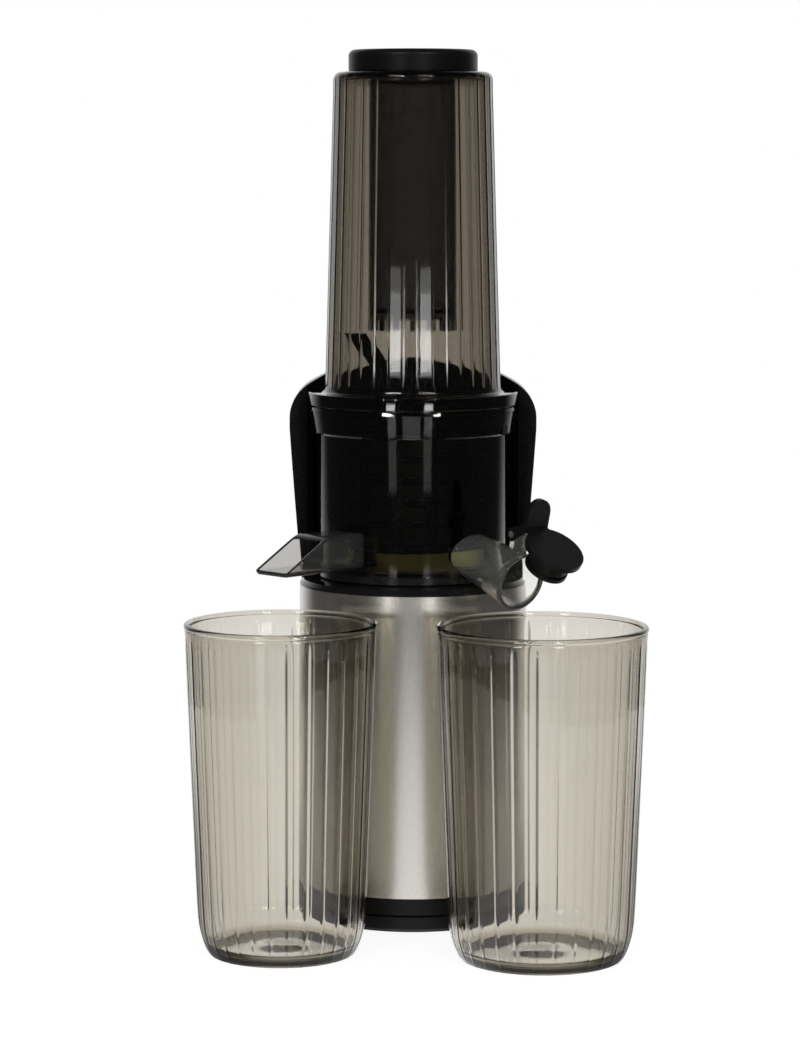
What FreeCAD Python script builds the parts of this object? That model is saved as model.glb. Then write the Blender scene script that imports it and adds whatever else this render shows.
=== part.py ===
import FreeCAD, Part
import math
import os
import Sketcher
from FreeCAD import Placement, Rotation, Vector

# Cold press juicer: a round motor base with a rear guard tower, a clear juicing bowl with its
# strainer and auger, a feed hopper with its pusher, and two cups that stand in front.
# Millimetres, +Z up, +X to the right, -Y to the front. The origin is on the juicer's axis,
# at the surface that it stands on.

# Driving dimensions. Radii and heights are in millimetres, angles in degrees.
SIZES = {
    # clearances
    "running_gap": 0.05,
    "slip_gap": 0.45,
    "seat_gap": 0.2,
    # motor base
    "base_radius": 52.5,
    "foot_height": 2.5,
    "foot_inset": 3.5,
    "foot_width": 9.0,
    "centre_pad_radius": 9.0,
    "ring_lift": 1.2,
    "ring_top": 16.0,
    "seam_height": 8.0,
    "seam_depth": 0.6,
    "sleeve_top": 154.0,
    "sleeve_wall": 1.5,
    "cover_thickness": 3.0,
    "vent_width": 3.0,
    "vent_start": 12.0,
    "vent_length": 18.0,
    "housing_wall": 2.0,
    "post_radius": 4.0,
    "post_inset": 7.0,
    "ledge_width": 4.5,
    "ledge_thickness": 3.0,
    "screw_radius": 1.5,
    "screw_head_radius": 2.8,
    "screw_head_height": 1.6,
    "small_screw_radius": 1.2,
    "small_head_radius": 2.2,
    "cover_screw_length": 14.0,
    # deck under the bowl
    "deck_rise": 3.5,
    "deck_edge_height": 0.8,
    "deck_slope_width": 5.5,
    "deck_boss_outer": 20.0,
    "deck_boss_inner": 14.0,
    "deck_boss_height": 1.8,
    "peg_radius": 2.0,
    "peg_length": 6.0,
    # rear tower
    "tower_inset": 3.0,
    "tower_top": 257.0,
    "tower_flare": 6.5,
    "tower_overhang": 4.5,
    "tower_dome": 107.0,
    "tower_shoulder": 17.0,
    "tower_cut_reach": 9.5,
    "tower_front_y": -7.4,
    "tower_side_run": 22.0,
    "tower_side_rise": 34.4,
    "liner_thickness": 1.2,
    "tower_foot_width": 5.2,
    "tower_foot_height": 3.5,
    "tower_screw_inset": 6.3,
    # interlock between the tower and the hopper
    "sensor_height": 240.0,
    "sensor_width": 10.0,
    "sensor_thickness": 2.6,
    "sensor_tall": 5.0,
    "magnet_width": 6.0,
    "magnet_depth": 3.0,
    "magnet_height": 3.4,
    # motor
    "shaft_radius": 4.0,
    "shaft_bottom": 9.0,
    "motor_radius": 30.0,
    "motor_wall": 1.5,
    "motor_bottom": 22.0,
    "plate_bottom": 88.0,
    "plate_thickness": 3.0,
    "plate_hole": 12.5,
    "plate_screw_inset": 6.1,
    "bell_thickness": 4.0,
    "bearing_radius": 11.0,
    "bearing_width": 7.0,
    "bearing_lip": 1.5,
    "bearing_lip_radius": 8.0,
    "hub_wall": 3.0,
    "stack_bottom": 38.0,
    "stack_height": 32.0,
    "rotor_radius": 18.2,
    "winding_inner": 20.0,
    "winding_outer": 27.5,
    "winding_height": 5.0,
    "fan_radius": 26.0,
    "fan_hub_radius": 8.0,
    "fan_height": 10.5,
    "fan_plate": 1.5,
    "motor_screw_circle": 22.0,
    "motor_screw_length": 6.5,
    # gearbox
    "gear_module": 1.25,
    "tooth_addendum": 1.0,
    "tooth_dedendum": 1.375,
    "tooth_backlash": 0.32,
    "ring_gear_outer": 34.0,
    "gearbox_wall": 2.0,
    "gearbox_floor": 2.0,
    "gearbox_ear_radius": 3.3,
    "gearbox_ear_height": 3.0,
    "gearbox_screw_offset": 4.9,
    "gearbox_height": 42.5,
    "first_gears_bottom": 94.0,
    "first_gears_height": 12.0,
    "second_gears_bottom": 112.0,
    "second_gears_height": 15.5,
    "end_gap": 1.0,
    "carrier_radius": 27.0,
    "carrier_thickness": 3.0,
    "pin_radius": 2.5,
    "gearbox_cover_thickness": 3.5,
    "output_bearing_radius": 16.0,
    "output_bearing_width": 10.0,
    "output_bearing_rise": 1.5,
    "output_lip_radius": 11.0,
    "output_hub_wall": 3.5,
    # drive to the auger
    "drive_radius": 6.0,
    "hex_radius": 5.9,
    "hex_bottom": 159.0,
    "hex_top": 192.0,
    "seal_radius": 10.0,
    "seal_flange_radius": 12.0,
    "seal_flange_height": 1.5,
    # electrics at the back
    "board_width": 50.0,
    "board_height": 52.0,
    "board_bottom": 25.0,
    "board_inset": 16.5,
    "board_thickness": 1.6,
    "rail_width": 3.0,
    "rail_front_inset": 18.0,
    "rail_back_inset": 9.1,
    "inlet_height": 30.0,
    "inlet_width": 23.0,
    "inlet_tall": 12.0,
    "inlet_depth": 12.5,
    "socket_width": 19.0,
    "socket_tall": 8.0,
    "socket_depth": 10.0,
    "contact_radius": 1.2,
    "contact_spacing": 8.6,
    "contact_length": 8.5,
    "flange_border": 2.0,
    "flange_proud": 1.8,
    "switch_height": 65.5,
    "switch_width": 15.0,
    "switch_tall": 22.0,
    "switch_depth": 12.5,
    "switch_recess_width": 12.8,
    "switch_recess_tall": 19.0,
    "rocker_width": 12.0,
    "rocker_half_height": 8.0,
    "rocker_inset": 2.5,
    "rocker_proud": 4.6,
    "rocker_dip": 0.8,
    "rocker_back": 2.5,
    "rocker_pin_radius": 1.2,
    "rocker_pin_reach": 0.9,
    # bowl
    "bowl_bottom_thickness": 3.8,
    "bowl_floor": 1.8,
    "bowl_wall": 2.2,
    "bowl_inset": 8.7,
    "bowl_flare": 1.2,
    "bowl_hole": 7.5,
    "bowl_tube_wall": 2.0,
    "bowl_tube_top": 172.0,
    "collar_bottom": 224.3,
    "collar_top": 236.5,
    "collar_proud": 3.3,
    "collar_low_proud": 1.9,
    "lug_width": 5.0,
    "lug_height": 5.0,
    "lug_proud": 0.5,
    "lug_azimuth": 62.0,
    "bayonet_groove_depth": 1.4,
    "bayonet_groove_bottom": 229.2,
    "bayonet_groove_top": 233.8,
    "bayonet_lug_width": 9.0,
    "bayonet_lug_proud": 1.2,
    "bayonet_twist": 20.0,
    # strainer
    "strainer_gap": 10.2,
    "screen_thickness": 0.5,
    "screen_bottom": 173.5,
    "frame_thickness": 1.5,
    "strainer_top": 226.0,
    "strainer_rim": 2.0,
    "window_width": 10.2,
    "window_tall": 6.8,
    "window_pitch": 10.0,
    "window_first": 179.0,
    "seal_ring_width": 2.0,
    "seal_ring_top": 171.0,
    # auger
    "auger_bottom_gap": 1.0,
    "auger_skirt_gap": 2.9,
    "auger_skirt_height": 4.0,
    "auger_waist_gap": 8.4,
    "auger_neck_radius": 13.0,
    "auger_neck_height": 226.0,
    "auger_cone_top": 241.0,
    "auger_post_radius": 3.2,
    "auger_post_top": 259.7,
    "auger_rim_gap": 1.0,
    "flight_thickness": 4.0,
    "flight_tip": 2.2,
    "flight_pitch": 25.0,
    "flight_rise": 47.0,
    "flight_start": 170.5,
    "arm_tip_gap": 6.3,
    "arm_tip_width": 9.8,
    "arm_tip_height": 270.6,
    "arm_root_tall": 12.0,
    "arm_thickness": 5.0,
    "socket_top_gap": 1.0,
    # pulp chute, to the front left
    "chute_azimuth": -45.0,
    "chute_width": 21.6,
    "chute_bottom": 165.0,
    "chute_top": 181.3,
    "chute_wall": 1.9,
    "chute_root": 10.0,
    "chute_roof_reach": 20.2,
    "chute_floor_reach": 45.6,
    "chute_lip": 2.0,
    # juice spout, to the front right
    "spout_azimuth": 40.0,
    "spout_root_inset": 4.8,
    "spout_root_height": 171.6,
    "spout_root_width": 13.0,
    "spout_root_tall": 9.6,
    "spout_reach": 31.7,
    "mouth_height": 161.3,
    "mouth_radius": 13.2,
    "mouth_tilt": 15.0,
    "spout_wall": 1.5,
    # spout cap, a lever on a pin above the mouth
    "pivot_back": 6.6,
    "pivot_rise": 21.2,
    "hinge_pin_radius": 1.5,
    "hinge_pin_length": 12.0,
    "ear_width": 5.0,
    "ear_radius": 3.2,
    "cap_radius": 13.7,
    "cap_thickness": 2.5,
    "cap_gap": 0.4,
    "plug_radius": 9.2,
    "plug_lip_radius": 9.95,
    "plug_lip_height": 2.0,
    "plug_depth": 8.6,
    "plug_wall": 2.0,
    "plug_drop": 0.5,
    "arm_width": 2.6,
    "crease_rise": 16.0,
    "tab_length": 14.5,
    "tab_width": 13.0,
    "tab_thickness": 2.2,
    "tab_angle": 22.5,
    "cap_open": 69.0,
    # hopper
    "hopper_flange_bottom": 237.0,
    "hopper_flange_top": 243.0,
    "hopper_flange_proud": 0.1,
    "hopper_neck_height": 250.0,
    "hopper_step": 8.1,
    "hopper_taper": 4.0,
    "hopper_top": 389.0,
    "hopper_shoulder": 3.5,
    "hopper_wall": 2.4,
    "hopper_flange_round": 2.0,
    "hopper_neck_round": 6.0,
    "spigot_bottom": 228.6,
    "spigot_wall": 2.4,
    # pusher
    "pusher_side_gap": 1.3,
    "pusher_wall": 2.4,
    "pusher_arm_gap": 1.4,
    "pusher_floor_rise": 8.0,
    "notch_width": 5.2,
    "notch_height": 5.0,
    "knob_inset": 6.8,
    "knob_height": 9.8,
    "knob_wall": 2.5,
    "knob_round": 3.0,
    # cups
    "cup_height": 147.5,
    "cup_wall": 2.0,
    "cup_hip_inset": 5.4,
    "cup_hip_height": 18.0,
    "cup_bulge_inset": 6.9,
    "cup_bulge_height": 8.5,
    "cup_heel_inset": 9.0,
    "cup_heel_height": 2.6,
    "cup_foot_inset": 10.7,
    "cup_bead": 2.5,
    "cup_bead_proud": 0.4,
    "cup_bottom_rise": 0.8,
    "pulp_cup_azimuth": -34.3,
    "pulp_cup_gap": 8.2,
    "pulp_cup_rim": 42.8,
    "juice_cup_azimuth": 30.65,
    "juice_cup_gap": 11.4,
    "juice_cup_rim": 46.5,
}

# Counts
POST_ANGLES = (45, 135, 225, 315)
PLATE_SCREW_ANGLES = (0, 90, 180, 270)
GEARBOX_SCREW_ANGLES = (20, 110, 200, 290)
TOWER_SCREW_ANGLES = (60, 90, 120)
PLANET_ANGLES = (90, 210, 330)
SUN_TEETH = 12
PLANET_TEETH = 18
RING_TEETH = 48
PRESSURE_ANGLE = 20.0
VENT_SLOTS = 12
FAN_BLADES = 9
WINDOW_COLUMNS = 12
WINDOW_ROWS = 5
BAYONET_ANGLES = (30, 150, 270)
CRENELLATIONS = 16

doc = FreeCAD.newDocument("juicer")
sheet = doc.addObject("Spreadsheet::Sheet", "Sizes")
for row, (alias, number) in enumerate(SIZES.items(), 1):
    sheet.set(f"A{row}", alias)
    sheet.set(f"B{row}", str(number))
    sheet.setAlias(f"B{row}", alias)
doc.recompute()


class Size:
    """A dimension: its number, and the formula over the sheet's cells that gives it."""

    def __init__(self, number, formula):
        self.number = number
        self.formula = formula

    def __add__(self, other):
        other = as_size(other)
        return Size(self.number + other.number, f"({self.formula} + {other.formula})")

    def __sub__(self, other):
        other = as_size(other)
        return Size(self.number - other.number, f"({self.formula} - {other.formula})")

    def __mul__(self, other):
        other = as_size(other)
        return Size(self.number * other.number, f"({self.formula} * {other.formula})")

    def __truediv__(self, other):
        other = as_size(other)
        return Size(self.number / other.number, f"({self.formula} / {other.formula})")

    def __radd__(self, other):
        return as_size(other) + self

    def __rsub__(self, other):
        return as_size(other) - self

    def __rmul__(self, other):
        return as_size(other) * self

    def __neg__(self):
        return Size(-self.number, f"(0 - {self.formula})")


class Sheet:
    """The sheet's cells, read by name as sizes."""

    def __getattr__(self, alias):
        return Size(float(sheet.get(alias)), f"Sizes.{alias}")


def as_size(value):
    """A size from a size or a plain number."""
    if isinstance(value, Size):
        return value
    return Size(float(value), f"({value})")


def bind(thing, path, value):
    """Tie one property of an object to a size's formula."""
    thing.setExpression(path, as_size(value).formula)


def put(thing, x=0, y=0, z=0, rotation=None):
    """Place an object, with its position tied to the sizes."""
    position = [as_size(value) for value in (x, y, z)]
    base = Vector(*[value.number for value in position])
    thing.Placement = Placement(base, rotation or Rotation())
    for letter, value in zip("xyz", position):
        bind(thing, f"Placement.Base.{letter}", value)
    return thing


# Turns that lay a cylinder's or a circle's own Z axis along X or along Y
ALONG_X = Rotation(Vector(0, 1, 0), 90)
ALONG_Y = Rotation(Vector(1, 0, 0), -90)


def cylinder(name, radius, height, x=0, y=0, z=0, rotation=None):
    """A cylinder that starts at its position and runs along its own Z axis."""
    thing = doc.addObject("Part::Cylinder", name)
    bind(thing, "Radius", radius)
    bind(thing, "Height", height)
    return put(thing, x, y, z, rotation)


def box(name, length, width, height, x=0, y=0, z=0, rotation=None):
    """A box from its low corner, with its sides along its own X, Y and Z."""
    thing = doc.addObject("Part::Box", name)
    bind(thing, "Length", length)
    bind(thing, "Width", width)
    bind(thing, "Height", height)
    return put(thing, x, y, z, rotation)


def joined(kind, name, shapes):
    """A boolean of several shapes, or the one shape alone."""
    if len(shapes) == 1:
        return shapes[0]
    thing = doc.addObject(kind, name)
    thing.Shapes = shapes
    return thing


def fuse(name, *shapes):
    return joined("Part::MultiFuse", name, list(shapes))


def common(name, *shapes):
    return joined("Part::MultiCommon", name, list(shapes))


def cut(name, base, *tools):
    """The base with the tools taken out of it."""
    thing = doc.addObject("Part::Cut", name)
    thing.Base = base
    thing.Tool = fuse(name + "_tools", *tools)
    return thing


def group(name, *shapes):
    """Separate like solids kept as one sub-part."""
    thing = doc.addObject("Part::Compound", name)
    thing.Links = list(shapes)
    return thing


def draw(body, name, plane, corners):
    """A closed outline of straight sides in one of the body's planes, its corners tied."""
    sketch = body.newObject("Sketcher::SketchObject", name + "_outline")
    feature = [item for item in body.Origin.OriginFeatures if item.Role == plane][0]
    sketch.AttachmentSupport = (feature, [""])
    sketch.MapMode = "FlatFace"
    corners = [(as_size(across), as_size(up)) for across, up in corners]
    points = [Vector(across.number, up.number, 0) for across, up in corners]
    count = len(points)
    for index in range(count):
        sketch.addGeometry(Part.LineSegment(points[index], points[(index + 1) % count]), False)
    for index in range(count):
        after = (index + 1) % count
        sketch.addConstraint(Sketcher.Constraint("Coincident", index, 2, after, 1))
    for index, (across, up) in enumerate(corners):
        for kind, axis, value in (("DistanceX", -2, across), ("DistanceY", -1, up)):
            if value.formula == "(0)":
                sketch.addConstraint(Sketcher.Constraint("PointOnObject", index, 1, axis))
                continue
            number = sketch.addConstraint(
                Sketcher.Constraint(kind, -1, 1, index, 1, value.number))
            sketch.setExpression(f"Constraints[{number}]", value.formula)
    return sketch


def turned(name, *corners):
    """A body turned about the Z axis from an outline of (radius, height) corners."""
    body = doc.addObject("PartDesign::Body", name)
    sketch = draw(body, name, "XZ_Plane", corners)
    turn = body.newObject("PartDesign::Revolution", name + "_turn")
    turn.Profile = sketch
    turn.ReferenceAxis = (sketch, ["V_Axis"])
    turn.Angle = 360
    return body


def tube(name, inner, outer, bottom, top):
    return turned(name, (inner, bottom), (outer, bottom), (outer, top), (inner, top))


def slab(name, width, *corners):
    """A body of even width either side of the XZ plane, from its outline in that plane."""
    body = doc.addObject("PartDesign::Body", name)
    sketch = draw(body, name, "XZ_Plane", corners)
    pad = body.newObject("PartDesign::Pad", name + "_pad")
    pad.Profile = sketch
    pad.SideType = "Symmetric"
    bind(pad, "Length", width)
    return body


def round_rims(body, radius, *rims):
    """Round the turned body's edges at these (radius, height) pairs."""
    doc.recompute()
    base = body.Tip
    names = []
    for number, edge in enumerate(base.Shape.Edges, 1):
        box_of = edge.BoundBox
        for rim_radius, rim_height in rims:
            wide = abs(box_of.XMax - as_size(rim_radius).number) < 0.01
            level = max(abs(box_of.ZMin - as_size(rim_height).number),
                        abs(box_of.ZMax - as_size(rim_height).number)) < 0.01
            if wide and level:
                names.append(f"Edge{number}")
    fillet = body.newObject("PartDesign::Fillet", base.Name + "_round")
    fillet.Base = (base, names)
    bind(fillet, "Radius", radius)
    return body


def around(circle, degrees):
    """The x and y of a point on a circle about the axis, at an angle from +X."""
    turn = math.radians(degrees)
    return circle * round(math.cos(turn), 9), circle * round(math.sin(turn), 9)


def radial_box(name, angle, start, depth, width, bottom, height):
    """A box that runs outward along an angle from +X, centred on it."""
    x, y = around(start, angle)
    side_x, side_y = around(width / 2, angle - 90)
    return box(name, depth, width, height, x + side_x, y + side_y, bottom,
               Rotation(Vector(0, 0, 1), angle))


def heading(azimuth):
    """The turn about Z that points local +X out from the axis, 0 being to the front."""
    return Rotation(Vector(0, 0, 1), azimuth.number - 90)


subparts = []


def subpart(label, thing):
    """Name a finished piece of the juicer."""
    thing.Label = label
    subparts.append(thing)
    return thing


# Heights and radii that several pieces share, each worked out from the driving sizes
s = Sheet()
sleeve_inner = s.base_radius - s.sleeve_wall
housing_inner = sleeve_inner - s.housing_wall
foot_outer = s.base_radius - s.foot_inset
foot_inner = foot_outer - s.foot_width
post_circle = s.base_radius - s.post_inset
plate_screw_circle = s.base_radius - s.plate_screw_inset
cover_top = s.foot_height + s.cover_thickness
plate_top = s.plate_bottom + s.plate_thickness
deck_top = s.sleeve_top + s.deck_rise
board_back = s.base_radius - s.board_inset
rail_front = s.base_radius - s.rail_front_inset
rail_back = s.base_radius - s.rail_back_inset
inlet_front = s.base_radius - s.inlet_depth
switch_front = s.base_radius - s.switch_depth
rocker_pivot = s.base_radius - s.rocker_inset
tower_inner = s.base_radius - s.tower_inset
tower_half_width = s.base_radius + s.tower_overhang
tower_front_x = s.base_radius + s.tower_cut_reach
tower_back_x = tower_front_x - s.tower_side_run
tower_back_y = s.tower_front_y + s.tower_side_rise
tower_foot_inner = tower_inner - s.tower_foot_width
tower_screw_circle = s.base_radius - s.tower_screw_inset
bowl_bottom = deck_top + s.seat_gap
floor_bottom = bowl_bottom + s.bowl_bottom_thickness
floor_top = floor_bottom + s.bowl_floor
bowl_radius = s.base_radius - s.bowl_inset
bowl_inner = bowl_radius - s.bowl_wall
bowl_top_radius = bowl_radius + s.bowl_flare
bowl_top_inner = bowl_top_radius - s.bowl_wall
collar_radius = bowl_top_radius + s.collar_proud
collar_low_radius = bowl_top_radius + s.collar_low_proud
screen_inner = bowl_inner - s.strainer_gap - s.frame_thickness - s.screen_thickness
auger_skirt_radius = screen_inner - s.auger_skirt_gap
auger_waist_radius = screen_inner - s.auger_waist_gap
chute_start = bowl_radius - s.chute_root
chute_roof_end = bowl_radius + s.chute_roof_reach
chute_floor_end = bowl_radius + s.chute_floor_reach
spout_root = bowl_radius - s.spout_root_inset
mouth_reach = bowl_radius + s.spout_reach
hopper_flange_radius = collar_radius + s.hopper_flange_proud
hopper_low_radius = hopper_flange_radius - s.hopper_step
hopper_top_radius = hopper_low_radius - s.hopper_taper
knob_radius = hopper_top_radius - s.knob_inset
knob_top = s.hopper_top + s.seat_gap + s.knob_height
arm_tip_outer = hopper_low_radius - s.hopper_wall - s.arm_tip_gap
arm_tip_inner = arm_tip_outer - s.arm_tip_width
pusher_radius = arm_tip_inner - s.pusher_side_gap
pusher_bottom = s.arm_tip_height + s.pusher_arm_gap
planet_circle = s.gear_module * ((SUN_TEETH + PLANET_TEETH) / 2)
gearbox_top = plate_top + s.gearbox_height
gearbox_screw_circle = s.ring_gear_outer + s.gearbox_screw_offset
output_bearing_bottom = gearbox_top + s.output_bearing_rise


# Motor base: shells, feet and cover

def base_ring():
    lip = foot_outer + 0.5
    bevel = 0.8
    half_seam = 0.5
    return turned(
        "base_ring",
        (lip, s.ring_lift),
        (s.base_radius - bevel, s.ring_lift),
        (s.base_radius, s.ring_lift + bevel),
        (s.base_radius, s.seam_height - half_seam),
        (s.base_radius - s.seam_depth, s.seam_height),
        (s.base_radius, s.seam_height + half_seam),
        (s.base_radius, s.ring_top),
        (sleeve_inner, s.ring_top),
        (sleeve_inner, s.foot_height),
        (lip, s.foot_height))


def rods(name, radius, circle, angles, bottom, height):
    """Upright rods or holes on a circle about the axis."""
    pieces = []
    for angle in angles:
        x, y = around(circle, angle)
        pieces.append(cylinder(f"{name}_{angle}", radius, height, x, y, bottom))
    return pieces


def screws(name, circle, angles, head_bottom, tip, small=False):
    """Screws on a circle, as separate solids: a head, and a shank from it to the tip.

    The tip is above the head for screws driven from below.
    """
    shank_radius = s.small_screw_radius if small else s.screw_radius
    head_radius = s.small_head_radius if small else s.screw_head_radius
    head_top = head_bottom + s.screw_head_height
    if tip.number > head_top.number:
        shank_bottom, shank_height = head_top, tip - head_top
    else:
        shank_bottom, shank_height = tip, head_bottom - tip
    heads = rods(name + "_head", head_radius, circle, angles, head_bottom,
                 s.screw_head_height)
    shanks = rods(name + "_shank", shank_radius, circle, angles, shank_bottom, shank_height)
    pieces = []
    for angle, head, shank in zip(angles, heads, shanks):
        pieces.append(fuse(f"{name}_{angle}", head, shank))
    return group(name, *pieces)


def bottom_cover():
    disc = turned("cover_disc", (0, s.foot_height), (sleeve_inner, s.foot_height),
                  (sleeve_inner, cover_top), (0, cover_top))
    openings = []
    for index in range(VENT_SLOTS):
        openings.append(radial_box(f"vent_{index}", index * 360 / VENT_SLOTS, s.vent_start,
                                   s.vent_length, s.vent_width, s.foot_height,
                                   s.cover_thickness))
    openings += rods("cover_hole", s.screw_radius, post_circle, POST_ANGLES,
                     s.foot_height, s.cover_thickness)
    openings += rods("cover_recess", s.screw_head_radius, post_circle, POST_ANGLES,
                     s.foot_height, s.screw_head_height)
    return cut("bottom_cover", disc, *openings)


def rear_opening(name, width, tall, height):
    """A straight opening through the back of a shell."""
    return box(name, width, s.base_radius, tall, -width / 2, s.base_radius / 2,
               height - tall / 2)


def base_sleeve():
    shell = tube("sleeve_shell", sleeve_inner, s.base_radius, s.ring_top, s.sleeve_top)
    return cut("base_sleeve", shell,
               rear_opening("sleeve_inlet", s.inlet_width, s.inlet_tall, s.inlet_height),
               rear_opening("sleeve_switch", s.switch_width, s.switch_tall, s.switch_height))


def base_housing(board):
    ledge_bottom = s.plate_bottom - s.ledge_thickness
    shell = turned(
        "housing_shell",
        (housing_inner, cover_top),
        (sleeve_inner, cover_top),
        (sleeve_inner, s.sleeve_top),
        (housing_inner, s.sleeve_top),
        (housing_inner, s.plate_bottom),
        (housing_inner - s.ledge_width, s.plate_bottom),
        (housing_inner - s.ledge_width, ledge_bottom),
        (housing_inner, ledge_bottom))
    posts = rods("post", s.post_radius, post_circle, POST_ANGLES, cover_top,
                 s.sleeve_top - cover_top)
    rails = []
    for side in (-1, 1):
        middle = s.board_width / 2 * side
        rails.append(box(f"rail_{side + 1}", s.rail_width, rail_back - rail_front,
                         s.board_height + 4, middle - s.rail_width / 2, rail_front,
                         s.board_bottom - 2))
    holes = rods("post_hole", s.screw_radius, post_circle, POST_ANGLES, cover_top,
                 s.cover_screw_length)
    holes += rods("peg_hole", s.peg_radius, post_circle, POST_ANGLES,
                  s.sleeve_top - s.peg_length, s.peg_length)
    holes += rods("ledge_hole", s.small_screw_radius, plate_screw_circle,
                  PLATE_SCREW_ANGLES, ledge_bottom, s.ledge_thickness)
    return cut("base_housing", fuse("housing_body", shell, *posts, *rails), *holes, board,
               rear_opening("housing_inlet", s.inlet_width, s.inlet_tall, s.inlet_height),
               rear_opening("housing_switch", s.switch_width, s.switch_tall,
                            s.switch_height))


def top_deck():
    slope_start = s.base_radius - s.deck_slope_width
    disc = turned(
        "deck_disc",
        (s.seal_radius, s.sleeve_top),
        (s.base_radius, s.sleeve_top),
        (s.base_radius, s.sleeve_top + s.deck_edge_height),
        (s.base_radius - s.deck_slope_width * 0.3, deck_top - s.deck_edge_height),
        (slope_start, deck_top),
        (s.deck_boss_outer, deck_top),
        (s.deck_boss_outer, deck_top + s.deck_boss_height),
        (s.deck_boss_inner, deck_top + s.deck_boss_height),
        (s.deck_boss_inner, deck_top),
        (s.seal_radius, deck_top))
    pegs = rods("peg", s.peg_radius, post_circle, POST_ANGLES,
                s.sleeve_top - s.peg_length, s.peg_length)
    holes = rods("deck_hole", s.small_screw_radius, tower_screw_circle,
                 TOWER_SCREW_ANGLES, s.sleeve_top, s.deck_rise)
    return cut("top_deck", fuse("deck_body", disc, *pegs), *holes)


# Rear tower: a shell and its inner liner, both cut from one curved wall

def tower_region(name):
    """The arched block behind the bowl: its plan, its domed top and its round shoulders."""
    height = s.tower_top - s.sleeve_top
    body = doc.addObject("PartDesign::Body", name + "_plan")
    sketch = draw(body, name + "_plan", "XY_Plane", (
        (tower_front_x, s.tower_front_y),
        (tower_front_x, tower_front_x + tower_back_y),
        (-tower_front_x, tower_front_x + tower_back_y),
        (-tower_front_x, s.tower_front_y),
        (-tower_back_x, tower_back_y),
        (tower_back_x, tower_back_y)))
    bind(sketch, "AttachmentOffset.Base.z", s.sleeve_top)
    pad = body.newObject("PartDesign::Pad", name + "_pad")
    pad.Profile = sketch
    bind(pad, "Length", height)
    depth = tower_front_x * 2
    sides = box(name + "_sides", tower_half_width * 2, depth, height,
                -tower_half_width, s.tower_front_y * 2, s.sleeve_top)
    dome = cylinder(name + "_dome", s.tower_dome, depth, 0, s.tower_front_y * 2,
                    s.tower_top - s.tower_dome, ALONG_Y)
    arch = common(name + "_arch", sides, dome)
    doc.recompute()
    corner_height = (s.tower_top.number - s.tower_dome.number + math.sqrt(
        s.tower_dome.number ** 2 - tower_half_width.number ** 2))
    rounded = doc.addObject("Part::Fillet", name + "_shoulders")
    rounded.Base = arch
    edges = []
    for number, edge in enumerate(arch.Shape.Edges, 1):
        limits = edge.BoundBox
        if limits.ZMax - limits.ZMin < 0.01 and abs(limits.ZMin - corner_height) < 0.01:
            edges.append((number, s.tower_shoulder.number, s.tower_shoulder.number))
    rounded.Edges = edges
    return common(name + "_region", body, rounded)


def tower_wall(name, region, inner, outer_low, outer_high):
    """The part of the region between an upright inner face and a flared outer face."""
    height = s.tower_top - s.sleeve_top
    wall = turned(name + "_wall", (inner, s.sleeve_top), (outer_low, s.sleeve_top),
                  (outer_high, s.sleeve_top + height), (inner, s.sleeve_top + height))
    return common(name + "_curve", region, wall)


def sensor_block(name):
    """The interlock sensor's place in the tower's shell, at the back of the bowl."""
    return box(name, s.sensor_width, s.sensor_thickness, s.sensor_tall,
               -s.sensor_width / 2, tower_inner + s.liner_thickness,
               s.sensor_height - s.sensor_tall / 2)


def tower(deck):
    region = tower_region("tower")
    liner_outer = tower_inner + s.liner_thickness
    shell = tower_wall("shell", region, liner_outer, s.base_radius,
                       s.base_radius + s.tower_flare)
    liner = tower_wall("liner", region, tower_inner, liner_outer, liner_outer)
    foot = common("tower_foot", region,
                  tube("foot_arc", tower_foot_inner, liner_outer, deck_top,
                       deck_top + s.tower_foot_height))
    holes = rods("foot_hole", s.small_screw_radius, tower_screw_circle,
                 TOWER_SCREW_ANGLES, deck_top, s.tower_foot_height - 1)
    subpart("tower_shell", cut("tower_shell", shell, deck, sensor_block("sensor_pocket")))
    subpart("tower_liner", cut("tower_liner", fuse("liner_body", liner, foot), deck,
                               *holes))
    subpart("interlock_sensor", sensor_block("interlock_sensor"))
    subpart("tower_screws", screws("tower_screws", tower_screw_circle,
                                   TOWER_SCREW_ANGLES, s.sleeve_top - s.screw_head_height,
                                   deck_top + s.tower_foot_height - 1, True))


# Motor

def motor_bell(name, outside, inside, direction):
    """An end bell: a disc with a hub that holds a bearing against a lip."""
    hub = s.bearing_radius + s.hub_wall
    lip = outside + s.bearing_lip * direction
    seat_end = lip + (s.bearing_width + 0.5) * direction
    return turned(
        name,
        (s.bearing_lip_radius, outside),
        (s.motor_radius, outside),
        (s.motor_radius, inside),
        (hub, inside),
        (hub, seat_end),
        (s.bearing_radius, seat_end),
        (s.bearing_radius, lip),
        (s.bearing_lip_radius, lip))


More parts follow.
